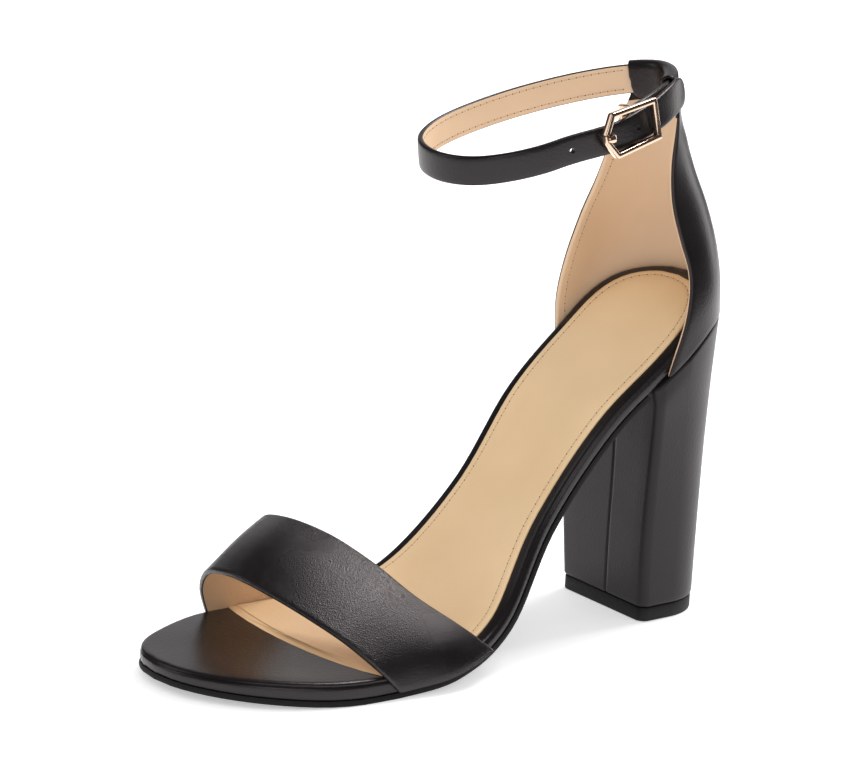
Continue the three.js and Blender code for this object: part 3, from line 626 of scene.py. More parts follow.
# %% Heel and top lift
heel_shares = [0, 0.004, 0.01] + [i / 40 for i in range(1, 40)] + [0.985, 0.995, 1]
heel_swell = {0: -0.5, 0.004: -0.15, 1: -0.5, 0.995: -0.15}
heel = skin("covered_heel", [heel_row(s, heel_swell.get(s, 0)) for s in heel_shares], [heel_leather],
            sharp=50)
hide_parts("heel")


def lift_row(height, inset):
    reach = HEEL_TIP_DEPTH / 2 - inset
    outline = heel_outline(HEEL_TIP_WIDTH / 2 - inset, reach, -reach, wider=INNER_WIDER)
    return [Vector((x, y, height)) for x, y in outline]


lift = skin("top_lift_rubber", [
    lift_row(0, LIFT_INSET + 0.45), lift_row(0.12, LIFT_INSET + 0.15), lift_row(0.45, LIFT_INSET),
    lift_row(4.2, LIFT_INSET), lift_row(4.55, LIFT_INSET + 0.2), lift_row(LIFT_THICKNESS, LIFT_INSET + 0.5),
], [lift_rubber], sharp=50)
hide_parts("top_lift")

# %% [markdown]
# ## Walls of leather
# A strap or a counter is a skin with a thickness. Its edge is turned: the outer leather is folded
# round and meets the lining a millimetre inside. The helper takes the outer surface as a grid,
# finds the inner one along the normals, and joins the two with a round rim. Faces on the inner
# side get the lining, except near the edge.


# %% Wall helper
def grid_normals(grid):
    normals = []
    for i, row in enumerate(grid):
        line = []
        for j in range(len(row)):
            along = grid[min(i + 1, len(grid) - 1)][j] - grid[max(i - 1, 0)][j]
            across = row[min(j + 1, len(row) - 1)] - row[max(j - 1, 0)]
            line.append(along.cross(across).normalized())
        normals.append(line)
    return normals


def wall_rows(grid, thickness, rim_steps=5, close_ends=(True, True)):
    """Closed sections of a wall whose outer surface is the grid; thickness is a list for its rows."""
    normals = grid_normals(grid)
    rows = []

    def section(points, normal_row, depth, scale=1.0):
        middle = [p - n * depth / 2 for p, n in zip(points, normal_row)]
        half = depth / 2 * scale
        outer = [m + n * half for m, n in zip(middle, normal_row)]
        inner = [m - n * half for m, n in zip(middle, normal_row)]

        def rim(end, inside):
            outward = (points[end] - points[inside]).normalized()
            angles = [math.pi * (k + 1) / (rim_steps + 1) for k in range(rim_steps)]
            return [middle[end] + normal_row[end] * half * math.cos(a) + outward * half * math.sin(a)
                    for a in angles]
        row = outer + rim(-1, -2) + inner[::-1] + rim(0, 1)[::-1]
        return row + row[:1]

    def end_rows(i, inside):
        outward = [(p - q).normalized() for p, q in zip(grid[i], grid[inside])]
        made = []
        for k in range(1, 5):
            angle = math.pi / 2 * k / 4
            depth = thickness[i]
            points = [p + o * depth / 2 * math.sin(angle) for p, o in zip(grid[i], outward)]
            made.append(section(points, normals[i], depth, scale=math.cos(angle) + 1e-4))
        return made

    if close_ends[0]:
        rows += end_rows(0, 1)[::-1]
    rows += [section(p, n, t) for p, n, t in zip(grid, normals, thickness)]
    if close_ends[1]:
        rows += end_rows(-1, -2)
    return rows


# %% Centripetal curve
def open_curve(points):
    """A smooth curve through points, used for the toe strap's edges and for the prong."""
    def at(share):
        place = share * (len(points) - 1)
        k = min(int(place), len(points) - 2)
        weight = place - k
        p1, p2 = points[k], points[k + 1]
        p0 = points[k - 1] if k > 0 else p1 * 2 - points[1]
        p3 = points[k + 2] if k + 2 < len(points) else p2 * 2 - points[-2]
        d0, d1, d2 = ((b - a).length ** 0.5 for a, b in ((p0, p1), (p1, p2), (p2, p3)))
        t1 = ((p1 - p0) / d0 - (p2 - p0) / (d0 + d1) + (p2 - p1) / d1) * d1
        t2 = ((p2 - p1) / d1 - (p3 - p1) / (d1 + d2) + (p3 - p2) / d2) * d1
        a, b = weight * weight, weight**3
        return p1 * (2 * b - 3 * a + 1) + t1 * (b - 2 * a + weight) + p2 * (3 * a - 2 * b) + t2 * (b - a)
    return at


# %% [markdown]
# ## The toe strap
# One wide band goes over the toes. It is cut on a curve, lasted down both sides of the board, and
# pulled a little out of flat between its edges. The leather has fine wrinkles where it was
# stretched. Both edge curves come from the same tables as in the CAD source. The ends are then
# moved onto the board's curved side, and each swells smoothly where it covers the rolled rim.

# %% Toe strap
STRAP_FRONT = [(0.7, 1, 0, 1), (0.734, 0.96, 0.095, 0), (0.767, 0.77, 0.319, 0), (0.799, 0.48, 0.494, 0),
               (0.827, 0.1, 0.62, 0), (0.844, -0.32, 0.673, 0), (0.843, -0.68, 0.588, 0),
               (0.816, -0.9, 0.323, 0), (0.769, -1, 0, 1)]
STRAP_BACK = [(0.53, 1, 0, 1), (0.563, 0.83, 0.216, 0), (0.599, 0.53, 0.511, 0), (0.635, 0.17, 0.763, 0),
              (0.668, -0.24, 0.942, 0), (0.693, -0.64, 1, 0), (0.694, -0.93, 0.895, 0),
              (0.66, -1.03, 0.54, 0), (0.595, -1, 0, 1)]


def strap_edge(rows):
    points = []
    for index, (along, across, lift_share, base) in enumerate(rows):
        x = HEEL_END + along * FOOTBED_LENGTH
        side = 1 if index < 4 else -1
        y = middle_at(x) + half_at(x) * end_share(x) * across + side * TOE_STRAP_PROUD * base
        points.append(on_last(x, y, base * (board_at(x) - 2 * GAP) - lift_share * TOE_STRAP_RISE))
    return open_curve(points)


def lasted_shift(point, side):
    """From a point of the strap's end to its place on the board's curved side, low at the outsole."""
    depth = board_at(point.x) - 2 * GAP
    x = point.x + normal_at(point.x).x * depth
    edge = middle_at(x) + side * (half_at(x) * end_share(x) + TOE_STRAP_PROUD)
    return on_last(x, edge, depth) - point


def rim_missing(point, side):
    """How far a point near the board's rim lies inside the place where it covers the rolled edge."""
    above = max(0.0, (point.z - top_at(point.x)) * normal_at(point.x).y)
    half = half_at(point.x) * end_share(point.x)
    edge = middle_at(point.x) + side * (half + TOE_STRAP_PROUD - 1.2 * above)
    return max(0.0, (edge - point.y) * side)


def swell_over_rim(rows, side):
    """rows run from the strap's end upwards; each column swells smoothly by what it misses at the rim."""
    near = rows[:len(rows) // 8]
    pushes = [max(rim_missing(row[j], side) for row in near) for j in range(len(rows[0]))]
    for _ in range(4):
        pushes = [(pushes[max(j - 1, 0)] + pushes[j] + pushes[min(j + 1, len(pushes) - 1)]) / 3
                  for j in range(len(pushes))]
    for i, row in enumerate(rows):
        share = i / len(rows)
        bump = smooth(share, -0.04, 0.03) * (1 - smooth(share, 0.05, 0.24))
        for j, push in enumerate(pushes):
            row[j].y += side * push * bump
    print("strap swells over the rim by up to", round(max(pushes), 2), "mm")


def toe_strap_grid(steps=96, columns=26):
    front, back = strap_edge(STRAP_FRONT), strap_edge(STRAP_BACK)
    grid = []
    for i in range(steps + 1):
        arch = math.sin(math.pi * i / steps)
        a, b = back(i / steps), front(i / steps)
        row = []
        for j in range(columns + 1):
            share = 0.5 - 0.5 * math.cos(math.pi * j / columns)
            share = mix(j / columns, share, 0.5)
            point = a.lerp(b, share)
            point.z += TOE_STRAP_SWELL * arch * math.sin(math.pi * share)
            row.append(point)
        grid.append(row)
    outer_shift = [lasted_shift(p, 1) for p in grid[0]]
    inner_shift = [lasted_shift(p, -1) for p in grid[-1]]
    for i, row in enumerate(grid):
        outer_fade = 1 - smooth(i / steps, 0, 0.22)
        inner_fade = 1 - smooth(1 - i / steps, 0, 0.22)
        for j in range(columns + 1):
            row[j] += outer_shift[j] * outer_fade + inner_shift[j] * inner_fade
    swell_over_rim(grid, 1)
    swell_over_rim(grid[::-1], -1)
    return grid


TOE_COLUMNS = 26
toe_grid = toe_strap_grid(columns=TOE_COLUMNS)


def lined(columns, folded, painted, rim_faces=6):
    """The slot of each face: 0 outer leather, 1 lining, 2 the painted edge between them on the rim."""
    def slot(i, j):
        if j < columns:
            return 0
        if columns + rim_faces <= j < 2 * columns + rim_faces:
            return 1
        step = j - columns if j < columns + rim_faces else 2 * (columns + rim_faces) - 1 - j
        return 0 if step < folded else 2 if step < folded + painted else 1
    return slot


toe_rows = wall_rows(toe_grid, [LEATHER] * len(toe_grid), close_ends=(False, False))
toe_strap = skin("toe_strap_band", toe_rows,
                 [strap_leather, lining_leather, edge_paint], lined(TOE_COLUMNS, 4, 1))
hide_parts("toe_strap")

# %% [markdown]
# ## The ankle strap's way
# The strap is one narrow band that starts at its free tail on the outer side, goes through the
# buckle, round the front of the ankle, back along the inner side, through the tunnel at the top of
# the counter and on to the buckle's centre bar. Its middle line is a closed smooth curve, and the
# last column of its table says how far its upper edge leans outwards.

# %% Ankle loop
LOOP = [(1, -0.043, 0, 0.11), (0.933, 0.238, 0, 0.11), (0.743, 0.407, 0.02, 0.05),
        (0.489, 0.447, 0.15, -0.05), (0.24, 0.365, 0.17, -0.3), (0.062, 0.178, 0.07, -0.16),
        (0, -0.045, 0.03, -0.08),
        (0.077, -0.262, 0, 0.02), (0.271, -0.432, 0, 0.11), (0.526, -0.529, 0, 0.11),
        (0.781, -0.512, 0, 0.11), (0.948, -0.347, 0, 0.11)]
ANKLE_BACK = HEEL_END + 15.2
loop_points = [Vector((ANKLE_BACK + a * LOOP_LENGTH, b * LOOP_WIDTH,
                       STRAP_HEIGHT - a * STRAP_DROP + up * STRAP_WIDTH, lean)) for a, b, up, lean in LOOP]


def loop_raw(t):
    count = len(loop_points)
    k, weight = int(t * count) % count, t * count - int(t * count)
    p0, p1, p2, p3 = (loop_points[(k + d) % count] for d in (-1, 0, 1, 2))
    t1, t2 = (p2 - p0) / 2, (p3 - p1) / 2
    a, b = weight * weight, weight**3
    return p1 * (2 * b - 3 * a + 1) + t1 * (b - 2 * a + weight) + p2 * (3 * a - 2 * b) + t2 * (b - a)


LOOP_STEPS = 1200
loop_table, travelled = [loop_raw(i / LOOP_STEPS) for i in range(LOOP_STEPS + 1)], [0.0]
for before, after in zip(loop_table, loop_table[1:]):
    travelled.append(travelled[-1] + (after.xyz - before.xyz).length)
LOOP_ROUND = travelled[-1]
print("ankle strap once round:", round(LOOP_ROUND, 1), "mm")


# %% Places on the ankle strap
def loop_spot(turn):
    distance = (turn % 1) * LOOP_ROUND
    low, high = 0, LOOP_STEPS
    while high - low > 1:
        middle = (low + high) // 2
        low, high = (middle, high) if travelled[middle] <= distance else (low, middle)
    share = (distance - travelled[low]) / (travelled[high] - travelled[low])
    return loop_table[low].lerp(loop_table[high], share)


def loop_frame(turn):
    spot = loop_spot(turn)
    along = (loop_spot(turn + 0.002).xyz - loop_spot(turn - 0.002).xyz).normalized()
    outward = Vector((along.y, -along.x, 0)).normalized()
    upward = (outward.cross(along).normalized() + outward * spot.w).normalized()
    return spot.xyz, along, upward, along.cross(upward).normalized()


def on_loop(turn, out, up):
    place, along, upward, facing = loop_frame(turn)
    return place + facing * out + upward * up


BUCKLE_BACK, TAIL_END, TUNNEL_START, TUNNEL_END = 0.335, 0.432, 0.43, 0.546
BAR_RADIUS = BUCKLE_BAR / 2
CENTRE_BAR = BUCKLE_BACK - 0.4 * BUCKLE_LENGTH / LOOP_ROUND
FRONT_BAR = BUCKLE_BACK - BUCKLE_LENGTH / LOOP_ROUND
CARRIER_END = CENTRE_BAR + (BAR_RADIUS + 4 * GAP) / LOOP_ROUND
BAR_OUT = BAR_RADIUS + 0.1
TAIL_OVER_BAR = BAR_OUT + BAR_RADIUS + GAP + STRAP_THICKNESS / 2
TAIL_OVER_TUNNEL = STRAP_THICKNESS + TUNNEL_WALL + 2 * GAP


def tail_offset(turn):
    climb = smooth(turn, FRONT_BAR - 0.05, CENTRE_BAR)
    settle = smooth(turn, BUCKLE_BACK, TAIL_END - 0.02)
    return climb * mix(TAIL_OVER_BAR, TAIL_OVER_TUNNEL, settle)


# %% [markdown]
# ## The ankle strap
# The band's section has a slightly crowned outer face, round turned edges and a flat lining. Its
# tail narrows a little to a blunt, rounded end. Punched holes go right through: the one in front of
# the buckle shows light in the photograph, so they are cut with a boolean and not painted on.


# %% Ankle strap band
def band_section(width, thickness):
    """Half millimetre steps round the band: outer face, lower rim, lining, upper rim."""
    half, skin_half = width / 2, thickness / 2
    faces = 8
    outer = [(skin_half * (1 - 0.12 * (2 * j / faces - 1) ** 4), mix(half - 0.7, 0.7 - half, j / faces))
             for j in range(faces + 1)]
    lower = [(skin_half * 0.88 * math.cos(a), 0.7 - half - 0.7 * math.sin(a))
             for a in (math.pi * k / 6 for k in range(1, 6))]
    inner = [(-skin_half * 0.88, mix(0.7 - half, half - 0.7, j / faces)) for j in range(faces + 1)]
    upper = [(skin_half * 0.88 * math.cos(a), half - 0.7 + 0.7 * math.sin(a))
             for a in (math.pi * k / 6 for k in range(5, 0, -1))]
    return outer + lower + inner + upper


TAIL_SAG = 1.2
TAIL_RISE = 1.0
TAIL_NARROWEST = 0.62


def tail_drop(turn):
    """The free tail hangs with the buckle under the loop's middle line, and rises over it at its end."""
    at_buckle = -TAIL_SAG * smooth(turn, FRONT_BAR - 0.05, CENTRE_BAR)
    return at_buckle + (TAIL_SAG + TAIL_RISE) * smooth(turn, BUCKLE_BACK, TAIL_END)


def ankle_rows(steps=300, end_rows=5):
    rows = []
    for i in range(steps + 1):
        turn = mix(TAIL_END, CARRIER_END - 1, i / steps)
        out = tail_offset(turn) if turn > 0 else 0
        drop = tail_drop(turn) if turn > 0 else 0
        missing = max(0.0, 1 - i / end_rows)
        width = STRAP_WIDTH * mix(TAIL_NARROWEST, 1, math.sqrt(1 - missing**2))
        row = [on_loop(turn, out + o, drop + u) for o, u in band_section(width, STRAP_THICKNESS)]
        rows.append(row + row[:1])
    return rows


ankle = skin("ankle_strap_band", ankle_rows(), [black_leather, lining_leather],
             lambda i, j: 1 if 13 <= j < 23 else 0)

# %% Punched holes
PRONG_HOLE = mix(CENTRE_BAR, FRONT_BAR, 0.62)
HOLE_RADIUS = 0.9 * MM
hole_turns = [0.198, PRONG_HOLE, 0.305]
punch = bmesh.new()
for turn in hole_turns:
    out = tail_offset(turn)
    place, along, upward, facing = loop_frame(turn)
    turned = Matrix((along, upward, facing)).transposed().to_4x4()
    turned.translation = on_loop(turn, out, tail_drop(turn)) * MM
    bmesh.ops.create_cone(punch, cap_ends=True, segments=24, radius1=HOLE_RADIUS, radius2=HOLE_RADIUS,
                          depth=6 * MM, matrix=turned)
punch_mesh = bpy.data.meshes.new("punch")
punch.to_mesh(punch_mesh)
punch.free()
punch_object = bpy.data.objects.new("punch", punch_mesh)
bpy.context.scene.collection.objects.link(punch_object)
cut = ankle.modifiers.new("holes", "BOOLEAN")
cut.object = punch_object
cut.operation = "DIFFERENCE"
cut.solver = "EXACT"
bpy.context.view_layer.update()
holed = bpy.data.meshes.new_from_object(ankle.evaluated_get(bpy.context.evaluated_depsgraph_get()))
ankle.modifiers.clear()
ankle.data = holed
bpy.data.objects.remove(punch_object)
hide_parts("ankle_strap")
print("ankle strap with holes:", len(holed.polygons), "faces")

# %% [markdown]
# ## The heel counter
# The counter is one piece of leather that wraps the heel, narrows towards the ankle, and at its
# top is folded inwards over the ankle strap. The fold ends in a short tab inside. Here too it is
# one grid: rows climb from the board's underside, follow the tunnel over the strap, and come down
# on the inside as the tab.

# %% Counter surface
counter_at = through([
    (0, 0, 0, 0, 1, 0.95), (0.167, 0.05, 0.03, 0, 0.8, 0.95), (0.333, 0.15, 0.25, 0, 0.67, 0.88),
    (0.5, 0.33, 0.6, 0, 0.605, 0.745), (0.667, 0.58, 0.93, -0.01, 0.51, 0.545),
    (0.833, 0.82, 1.05, -0.015, 0.365, 0.363), (1, 1, 1, 0, 0.19, 0.23),
])
STRAP_UNDERSIDE = STRAP_WIDTH / 2 + 0.75
TUNNEL_OUTSIDE = STRAP_THICKNESS / 2 + GAP + TUNNEL_WALL
COUNTER_TOP_BACK = ANKLE_BACK - TUNNEL_OUTSIDE
COUNTER_TOP_HALF = COUNTER_TOP_WIDTH / 2
TIP_RAISED = 0.8
OUTER_SHORTER = 0.085
FOLD_CORNER = 3.4
FOLD_ROUND = 1.5


def counter_point(share, forward, side):
    lean, taper, belly, outer, inner = counter_at(share)
    back = mix(SEAT_BACK, COUNTER_TOP_BACK, lean)
    half = mix(SEAT_HALF, COUNTER_TOP_HALF, taper) + belly * SEAT_WIDTH
    rounding = mix(HEEL_ROUND, COUNTER_TOP_HALF * 1.3, share)
    x = back + forward
    y = side * half * (1 - clamp(1 - forward / rounding) ** 2.2) ** (1 / 2.2)
    raised = TIP_RAISED * smooth(forward, COUNTER_REACH * 0.75, COUNTER_REACH)
    low = top_at(x) - (board_at(x) - 2 * GAP) / normal_at(x).y - counter_drop(x) + raised
    high = STRAP_HEIGHT - STRAP_UNDERSIDE - STRAP_DROP / LOOP_LENGTH * (x - ANKLE_BACK)
    return Vector((x, y, mix(low, high, share)))


COUNTER_SIDE = 22


def counter_row(share):
    found = counter_at(share)
    spread = [(k / COUNTER_SIDE) ** 1.7 for k in range(COUNTER_SIDE + 1)]
    inner = [counter_point(share, COUNTER_REACH * found[4] * s, -1) for s in spread[:0:-1]]
    shorter = 1 - OUTER_SHORTER * (1 - smooth(share, 0.25, 0.6))
    outer = [counter_point(share, COUNTER_REACH * found[3] * shorter * s, 1) for s in spread]
    return inner + outer


# %% Fold over the strap
def fold_row(out, up, drop=0.0):
    """One row of the fold: at each column a point on the loop, from the inner side round to the outer."""
    row = []
    for k in range(2 * COUNTER_SIDE + 1):
        turn = mix(TUNNEL_END, TUNNEL_START, k / (2 * COUNTER_SIDE))
        from_end = min(TUNNEL_END - turn, turn - TUNNEL_START) * LOOP_ROUND
        missing = clamp(1 - from_end / FOLD_CORNER)
        raised = drop * FOLD_CORNER * (1 - math.sqrt(1 - missing**2))
        row.append(on_loop(turn, out, up + raised))
    return row


def counter_grid():
    levels = 44
    rows = [counter_row(i / levels) for i in range(levels + 1)]
    blend_from = 36
    target = fold_row(TUNNEL_OUTSIDE, -STRAP_WIDTH / 2)
    for i in range(blend_from, levels + 1):
        share = smooth(i, blend_from, levels + 2)
        rows[i] = [p.lerp(Vector((q.x, q.y, p.z)), share) for p, q in zip(rows[i], target)]
    top = STRAP_WIDTH / 2 + GAP + TUNNEL_TOP
    for up in (-3.4, -1.2, 1.0, 3.2):
        rows.append(fold_row(TUNNEL_OUTSIDE, up))
    for k in range(7):
        angle = math.pi * k / 6
        rows.append(fold_row(TUNNEL_OUTSIDE * math.cos(angle),
                             top - FOLD_ROUND + FOLD_ROUND * math.sin(angle)))
    for up in (3.0, 1.0, -1.5, -4.0, -5.4):
        rows.append(fold_row(-TUNNEL_OUTSIDE, up, drop=1.0 if up < -3 else 0.4 if up < 0 else 0.0))
    return rows, levels


counter_rows_made, counter_levels = counter_grid()
thin = len(counter_rows_made) - counter_levels - 1
counter_thickness = [LEATHER] * (counter_levels - 3) + [1.8, 1.6, 1.35, TUNNEL_WALL] + [TUNNEL_WALL] * thin
print("counter rows", len(counter_rows_made), "thickness rows", len(counter_thickness))

# %% Counter
COUNTER_COLUMNS = 2 * COUNTER_SIDE
counter_lined = lined(COUNTER_COLUMNS, 1, 2)
END_ROWS = 4


def counter_slot(i, j):
    return counter_lined(i, j) if i < counter_levels + END_ROWS - 1 else 0


counter = skin("heel_counter_wrap", wall_rows(counter_rows_made, counter_thickness),
               [black_leather, lining_leather, edge_paint], counter_slot, sharp=60)
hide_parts("heel_counter")

# %% [markdown]
# ## The buckle
# The buckle is a flat frame with a straight back bar and a point cut short, bevelled all round
# and polished. A circle of six corners is moved onto the outline, inset to the bar's width, and
# extruded. The centre bar sits under the frame on two short posts, and the prong lies on it.

# %% Buckle frame
lift_out = TAIL_OVER_BAR + STRAP_THICKNESS / 2 + 3 * GAP
back_middle = on_loop(BUCKLE_BACK, lift_out, 0)
first = (on_loop(FRONT_BAR, lift_out, 0) - back_middle).normalized()
down = -loop_frame((BUCKLE_BACK + FRONT_BAR) / 2)[2]
outwards = first.cross(down).normalized()
down = outwards.cross(first)
back_middle += down * BUCKLE_SAG
turn_buckle = Matrix.Rotation(-BUCKLE_TILT, 3, outwards)
first, down = turn_buckle @ first, turn_buckle @ down
into_buckle = Matrix((first, down, outwards))


def from_buckle(x, y, z):
    return (back_middle + first * x + down * y + outwards * z) * MM


def in_buckle(point):
    return into_buckle @ (point - back_middle)


def frame_outline(inset):
    back_half = BUCKLE_WIDTH * 0.455 - inset
    half = BUCKLE_WIDTH / 2 - inset
    front_half = BUCKLE_WIDTH * 0.09 - inset * 0.32
    shoulder = BUCKLE_LENGTH * 0.83 - inset * 0.5
    tip = BUCKLE_LENGTH - inset
    return [(inset, -back_half), (shoulder, -half), (tip, -front_half),
            (tip, front_half), (shoulder, half), (inset, back_half)]


bm = bmesh.new()
made = bmesh.ops.create_circle(bm, cap_ends=True, segments=6, radius=1)
for v, (x, y) in zip(made["verts"], frame_outline(0)):
    v.co = (x, y, 0)
outline_face = bm.faces[:][0]
bmesh.ops.inset_region(bm, faces=[outline_face], thickness=BUCKLE_BAR, use_even_offset=True,
                       use_boundary=True)
hole_face = next(f for f in bm.faces if len(f.verts) == 6)
bmesh.ops.delete(bm, geom=[hole_face], context="FACES_ONLY")
print("frame faces before the extrusion", len(bm.faces))
risen = bmesh.ops.extrude_face_region(bm, geom=bm.faces[:])
bmesh.ops.translate(bm, verts=[g for g in risen["geom"] if isinstance(g, bmesh.types.BMVert)],
                    vec=(0, 0, BUCKLE_THICKNESS))
bmesh.ops.recalc_face_normals(bm, faces=bm.faces)
bmesh.ops.bevel(bm, geom=bm.edges[:], offset=0.38, offset_type="OFFSET", affect="EDGES", segments=3,
                profile=0.5, material=-1)
print("buckle frame corners", len(bm.verts))

# %% Centre bar and posts
bar_middle = in_buckle(on_loop(CENTRE_BAR, BAR_OUT, 0))
reach = BUCKLE_WIDTH * 0.475 - 0.6
bmesh.ops.create_cone(bm, cap_ends=True, segments=20, radius1=BAR_RADIUS, radius2=BAR_RADIUS,
                      depth=2 * reach,
                      matrix=Matrix.Translation((bar_middle.x, 0, bar_middle.z))
                      @ Matrix.Rotation(math.pi / 2, 4, "X"))
post_height = BUCKLE_THICKNESS * 0.6 - bar_middle.z + BAR_RADIUS
for side in (-1, 1):
    post = bmesh.ops.create_cube(bm, size=1, matrix=Matrix.Translation(
        (bar_middle.x, side * reach, bar_middle.z - BAR_RADIUS + post_height / 2))
        @ Matrix.Diagonal((BUCKLE_BAR, 1.2, post_height, 1)))
    edges = {e for v in post["verts"] for e in v.link_edges}
    bmesh.ops.bevel(bm, geom=list(edges), offset=0.25, offset_type="OFFSET", affect="EDGES", segments=2,
                    profile=0.5, material=-1)
for v in bm.verts:
    v.co = from_buckle(*v.co)
buckle = finish("buckle_frame_gold", bm, [gold], sharp=35)
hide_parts("buckle_frame")


# %% Prong
def tail_spot(turn, height_over):
    point = in_buckle(on_loop(turn, tail_offset(turn) + height_over, 0))
    return Vector((point.x, point.z))


half_strap = STRAP_THICKNESS / 2
under = -half_strap - GAP - PRONG_THICKNESS / 2
over = half_strap + GAP + PRONG_THICKNESS / 2
hole = tail_spot(PRONG_HOLE, 0)
rest = BUCKLE_THICKNESS + GAP + PRONG_THICKNESS / 2
prong_path = [
    Vector((bar_middle.x + BAR_RADIUS + GAP + PRONG_THICKNESS / 2, bar_middle.z - BAR_RADIUS * 0.5)),
    tail_spot(mix(CENTRE_BAR, FRONT_BAR, 0.35), under),
    hole + Vector((-PRONG_THICKNESS, under)),
    hole + Vector((PRONG_THICKNESS, over)),
    Vector((BUCKLE_LENGTH - BUCKLE_BAR - PRONG_THICKNESS, rest)),
    Vector((BUCKLE_LENGTH, rest)),
]
prong_line = open_curve([p.to_3d() for p in prong_path])
prong_rows = []
for i in range(49):
    spot, ahead = prong_line(i / 48), prong_line(min(1, i / 48 + 0.01)) - prong_line(max(0, i / 48 - 0.01))
    ahead.normalize()
    side_out = Vector((-ahead.y, ahead.x))
    ends = min(i, 48 - i)
    width = PRONG_WIDTH / 2
    if ends < 5:
        width *= math.sqrt(clamp(1 - (1 - ends / 5) ** 2, 0.02, 1))
    row = []
    for k in range(17):
        angle = 2 * math.pi * k / 16
        squared = [math.copysign(abs(c) ** 0.6, c) for c in (math.cos(angle), math.sin(angle))]
        off = side_out * (PRONG_THICKNESS / 2 * squared[1] * min(1, 0.4 + width / PRONG_WIDTH * 1.3))
        row.append(from_buckle(spot.x + off.x, width * squared[0], spot.y + off.y) / MM)
    prong_rows.append(row)
prong = skin("buckle_prong_gold", prong_rows, [gold])
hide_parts("buckle_prong")

# %% [markdown]
# ## Stitches
# Every seam of the lining is a row of short stitches, about four to the centimetre. Each stitch is
# a small stretched sphere of a few dozen faces, laid along a line on the surface and sunk by half
# of its thickness. A smaller dark dot between two stitches stands for the needle hole: its dark
# colour is the hole's shade, painted on.


# %% Stitch helper
def dot(bm, place, along, normal, size, material_index):
    """One small stretched sphere; size is its length, width and height in millimetres."""
    side = normal.cross(along).normalized()
    turned = Matrix((along, side, along.cross(side))).transposed().to_4x4()
    turned.translation = place * MM
    stretch = Matrix.Diagonal((*[s / 2 * MM for s in size], 1))
    shape = turned @ stretch @ Matrix.Rotation(math.pi / 2, 4, "Y")
    made = bmesh.ops.create_uvsphere(bm, u_segments=6, v_segments=5, radius=1, matrix=shape)
    for face in {f for v in made["verts"] for f in v.link_faces}:
        face.material_index = material_index


def stitch_row(name, line, pitch, length, width):
    """line is a dense list of (place, normal) in millimetres."""
    bm = bmesh.new()
    carried, count = pitch / 2, 0
    for (a, normal), (b, _) in zip(line, line[1:]):
        step = (b - a).length
        if step < 1e-6:
            continue
        while carried <= step:
            spot, along = a.lerp(b, carried / step), (b - a).normalized()
            dot(bm, spot, along, normal, (length, width, width * 0.7), 0)
            # the needle hole: a dark dot whose colour is painted shade
            dot(bm, spot + along * pitch / 2, along, normal, (width * 1.1, width, width * 0.55), 1)
            carried += pitch
            count += 1
        carried -= step
    piece = finish(name, bm, [tan_thread, needle_hole_shade], sharp=80)
    print(name, count, "stitches")
    return piece


# %% Sock stitches
def sock_line():
    stations = stations_between(HEEL_END, HEEL_END + SOCK_LENGTH, 24, 120, 20)
    outer, inner = plan_edge(stations, lambda x: sock_inset(x) + STITCH_INSET)
    line = []
    for point in inner[::-1] + outer:
        normal = normal_at(point.x)
        if share_at(point.x) < 0.63:
            line.append((on_last(point.x, point.y, -0.73), Vector((normal.x, 0, normal.y))))
    return line


stitch_row("sock_stitches", sock_line(), 2.6, 1.7, 0.5)


# %% Ankle strap stitches
def band_line(up, begin, stop, side, steps=700):
    line = []
    for i in range(steps + 1):
        turn = mix(begin, stop, i / steps)
        out = tail_offset(turn) if turn > 0 else 0
        line.append((on_loop(turn, out + side * STRAP_THICKNESS / 2 * 0.9, up), loop_frame(turn)[3] * side))
    return line


for label, up in (("upper", 3.0), ("lower", -3.0)):
    stitch_row(f"ankle_strap_{label}_stitches", band_line(up, TAIL_END - 0.02, TUNNEL_END + 0.012 - 1, -1),
               2.4, 1.5, 0.42)


# %% Counter stitches
def counter_line(column):
    normals = grid_normals(counter_rows_made)
    line = []
    for i in range(2, counter_levels - 2):
        row, normal_row = counter_rows_made[i], normals[i]
        inside = 1 if column == 0 else -1
        index, left = (0 if column == 0 else len(row) - 1), 2.4
        while (row[index] - row[index + inside]).length < left:
            left -= (row[index] - row[index + inside]).length
            index += inside
        share = left / (row[index] - row[index + inside]).length
        spot = row[index].lerp(row[index + inside], share)
        normal = normal_row[index].lerp(normal_row[index + inside], share).normalized()
        line.append((spot - normal * counter_thickness[i] * 1.0, -normal))
    return line


for label, column in (("inner", 0), ("outer", -1)):
    stitch_row(f"counter_{label}_stitches", counter_line(column), 2.4, 1.5, 0.42)

# %% [markdown]
# ## Floor, light and camera
# The photograph is taken on white paper under large soft lights. The floor is a white sheet, small
# enough that the buckle's faces don't mirror its far part. The world is white to the eye but dark
# in reflections, and five soft lamps give the highlights. The camera stands where the outlines of
# the footbed, the straps and the heel agree with the photograph.

# %% Floor and world
bm = bmesh.new()
bmesh.ops.create_grid(bm, x_segments=8, y_segments=8, size=0.85)
floor_mesh = bpy.data.meshes.new("paper_floor")
bm.to_mesh(floor_mesh)
bm.free()
floor = bpy.data.objects.new("paper_floor", floor_mesh)
bpy.context.scene.collection.objects.link(floor)
paper, _, paper_shader = shaded("white_paper")
set_sockets(paper_shader, Base_Color=(0.9, 0.9, 0.9, 1), Roughness=0.9,
            Emission_Color=(1, 1, 1, 1), Emission_Strength=0.42)
floor_mesh.materials.append(paper)
floor.location.z = -0.0001

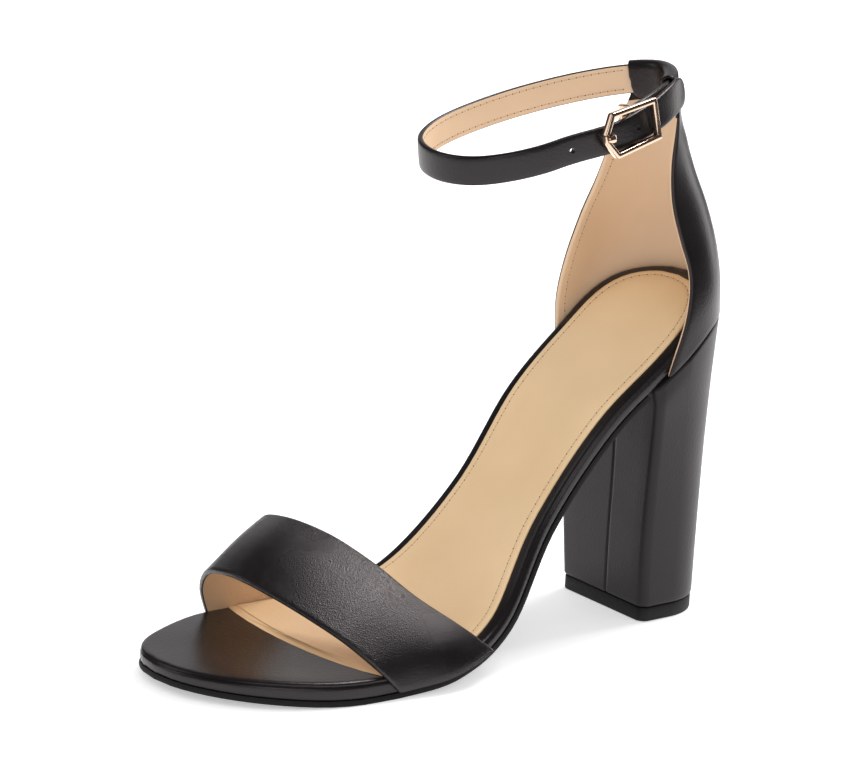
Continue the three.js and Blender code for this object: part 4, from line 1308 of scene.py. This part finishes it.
scene = bpy.context.scene
world = bpy.data.worlds.new("soft_studio")
world.use_nodes = True
scene.world = world
tree = world.node_tree
background = tree.nodes["Background"]
rays = add(tree, "ShaderNodeLightPath", (-600, 200))
seen = add(tree, "ShaderNodeMix", (-300, 0), data_type="RGBA")
seen.inputs[6].default_value = (0.7, 0.7, 0.7, 1)
seen.inputs[7].default_value = (1, 1, 1, 1)
mirrored = add(tree, "ShaderNodeMix", (-100, 0), data_type="RGBA")
mirrored.inputs[7].default_value = (0.07, 0.068, 0.07, 1)
tree.links.new(rays.outputs["Is Camera Ray"], seen.inputs[0])
tree.links.new(rays.outputs["Is Glossy Ray"], mirrored.inputs[0])
tree.links.new(seen.outputs[2], mirrored.inputs[6])
tree.links.new(mirrored.outputs[2], background.inputs["Color"])
scene.view_settings.view_transform = "Standard"


# %% Lamps
def softbox(name, place, aim, size, power):
    lamp = bpy.data.lights.new(name, "AREA")
    lamp.shape = "RECTANGLE"
    lamp.size, lamp.size_y = size
    lamp.energy = power
    lamp.color = (1, 0.97, 0.965)
    lamp_object = bpy.data.objects.new(name, lamp)
    lamp_object.location = place
    lamp_object.rotation_euler = (Vector(aim) - Vector(place)).to_track_quat("-Z", "Y").to_euler()
    scene.collection.objects.link(lamp_object)


softbox("overhead", (-0.52, -0.09, 1.04), (0.11, 0.02, 0.02), (0.5, 0.4), 9)
softbox("backdrop", (-0.66, -0.96, 0.42), (0.1, 0, 0.02), (1.3, 0.7), 1.9)
softbox("heel_side", (-1.1, 0.0, 0.35), (0, 0.02, 0.12), (0.35, 0.7), 2.5)
softbox("left_side", (1.0, -0.6, 0.7), (0.08, 0, 0.05), (0.6, 0.9), 2)
softbox("front_fill", (0.73, 1.22, 0.63), (0.03, 0, 0.12), (0.9, 0.7), 4)

# %% Camera
TARGET = Vector((0.08807, 0, 0.08))
AZIMUTH, ELEVATION, ROLL = math.radians(51.41), math.radians(16.57), math.radians(3.1)
PIXELS_PER_METRE, DISTANCE = 3310.0, 1.6141
PHOTO_WIDTH, PHOTO_HEIGHT, SENSOR = 868, 759, 36
TARGET_PIXEL = (430.18, 394.09)
back_axis = Vector((math.cos(AZIMUTH) * math.cos(ELEVATION), math.sin(AZIMUTH) * math.cos(ELEVATION),
                    math.sin(ELEVATION)))
level = Vector((-math.sin(AZIMUTH), math.cos(AZIMUTH), 0))
upright = back_axis.cross(level)
right = level * math.cos(ROLL) + upright * math.sin(ROLL)
up_axis = upright * math.cos(ROLL) - level * math.sin(ROLL)
camera_data = bpy.data.cameras.new("photo_camera")
camera_data.sensor_fit = "HORIZONTAL"
camera_data.sensor_width = SENSOR
camera_data.lens = SENSOR * PIXELS_PER_METRE * DISTANCE / PHOTO_WIDTH
camera_data.clip_end = 20
camera = bpy.data.objects.new("photo_camera", camera_data)
camera.matrix_world = Matrix((right, up_axis, back_axis)).transposed().to_4x4()
camera.location = (TARGET + back_axis * DISTANCE
                   - right * ((TARGET_PIXEL[0] - PHOTO_WIDTH / 2) / PIXELS_PER_METRE)
                   + up_axis * ((TARGET_PIXEL[1] - PHOTO_HEIGHT / 2) / PIXELS_PER_METRE))
scene.collection.objects.link(camera)
scene.camera = camera
print("lens", round(camera_data.lens, 1), "mm")
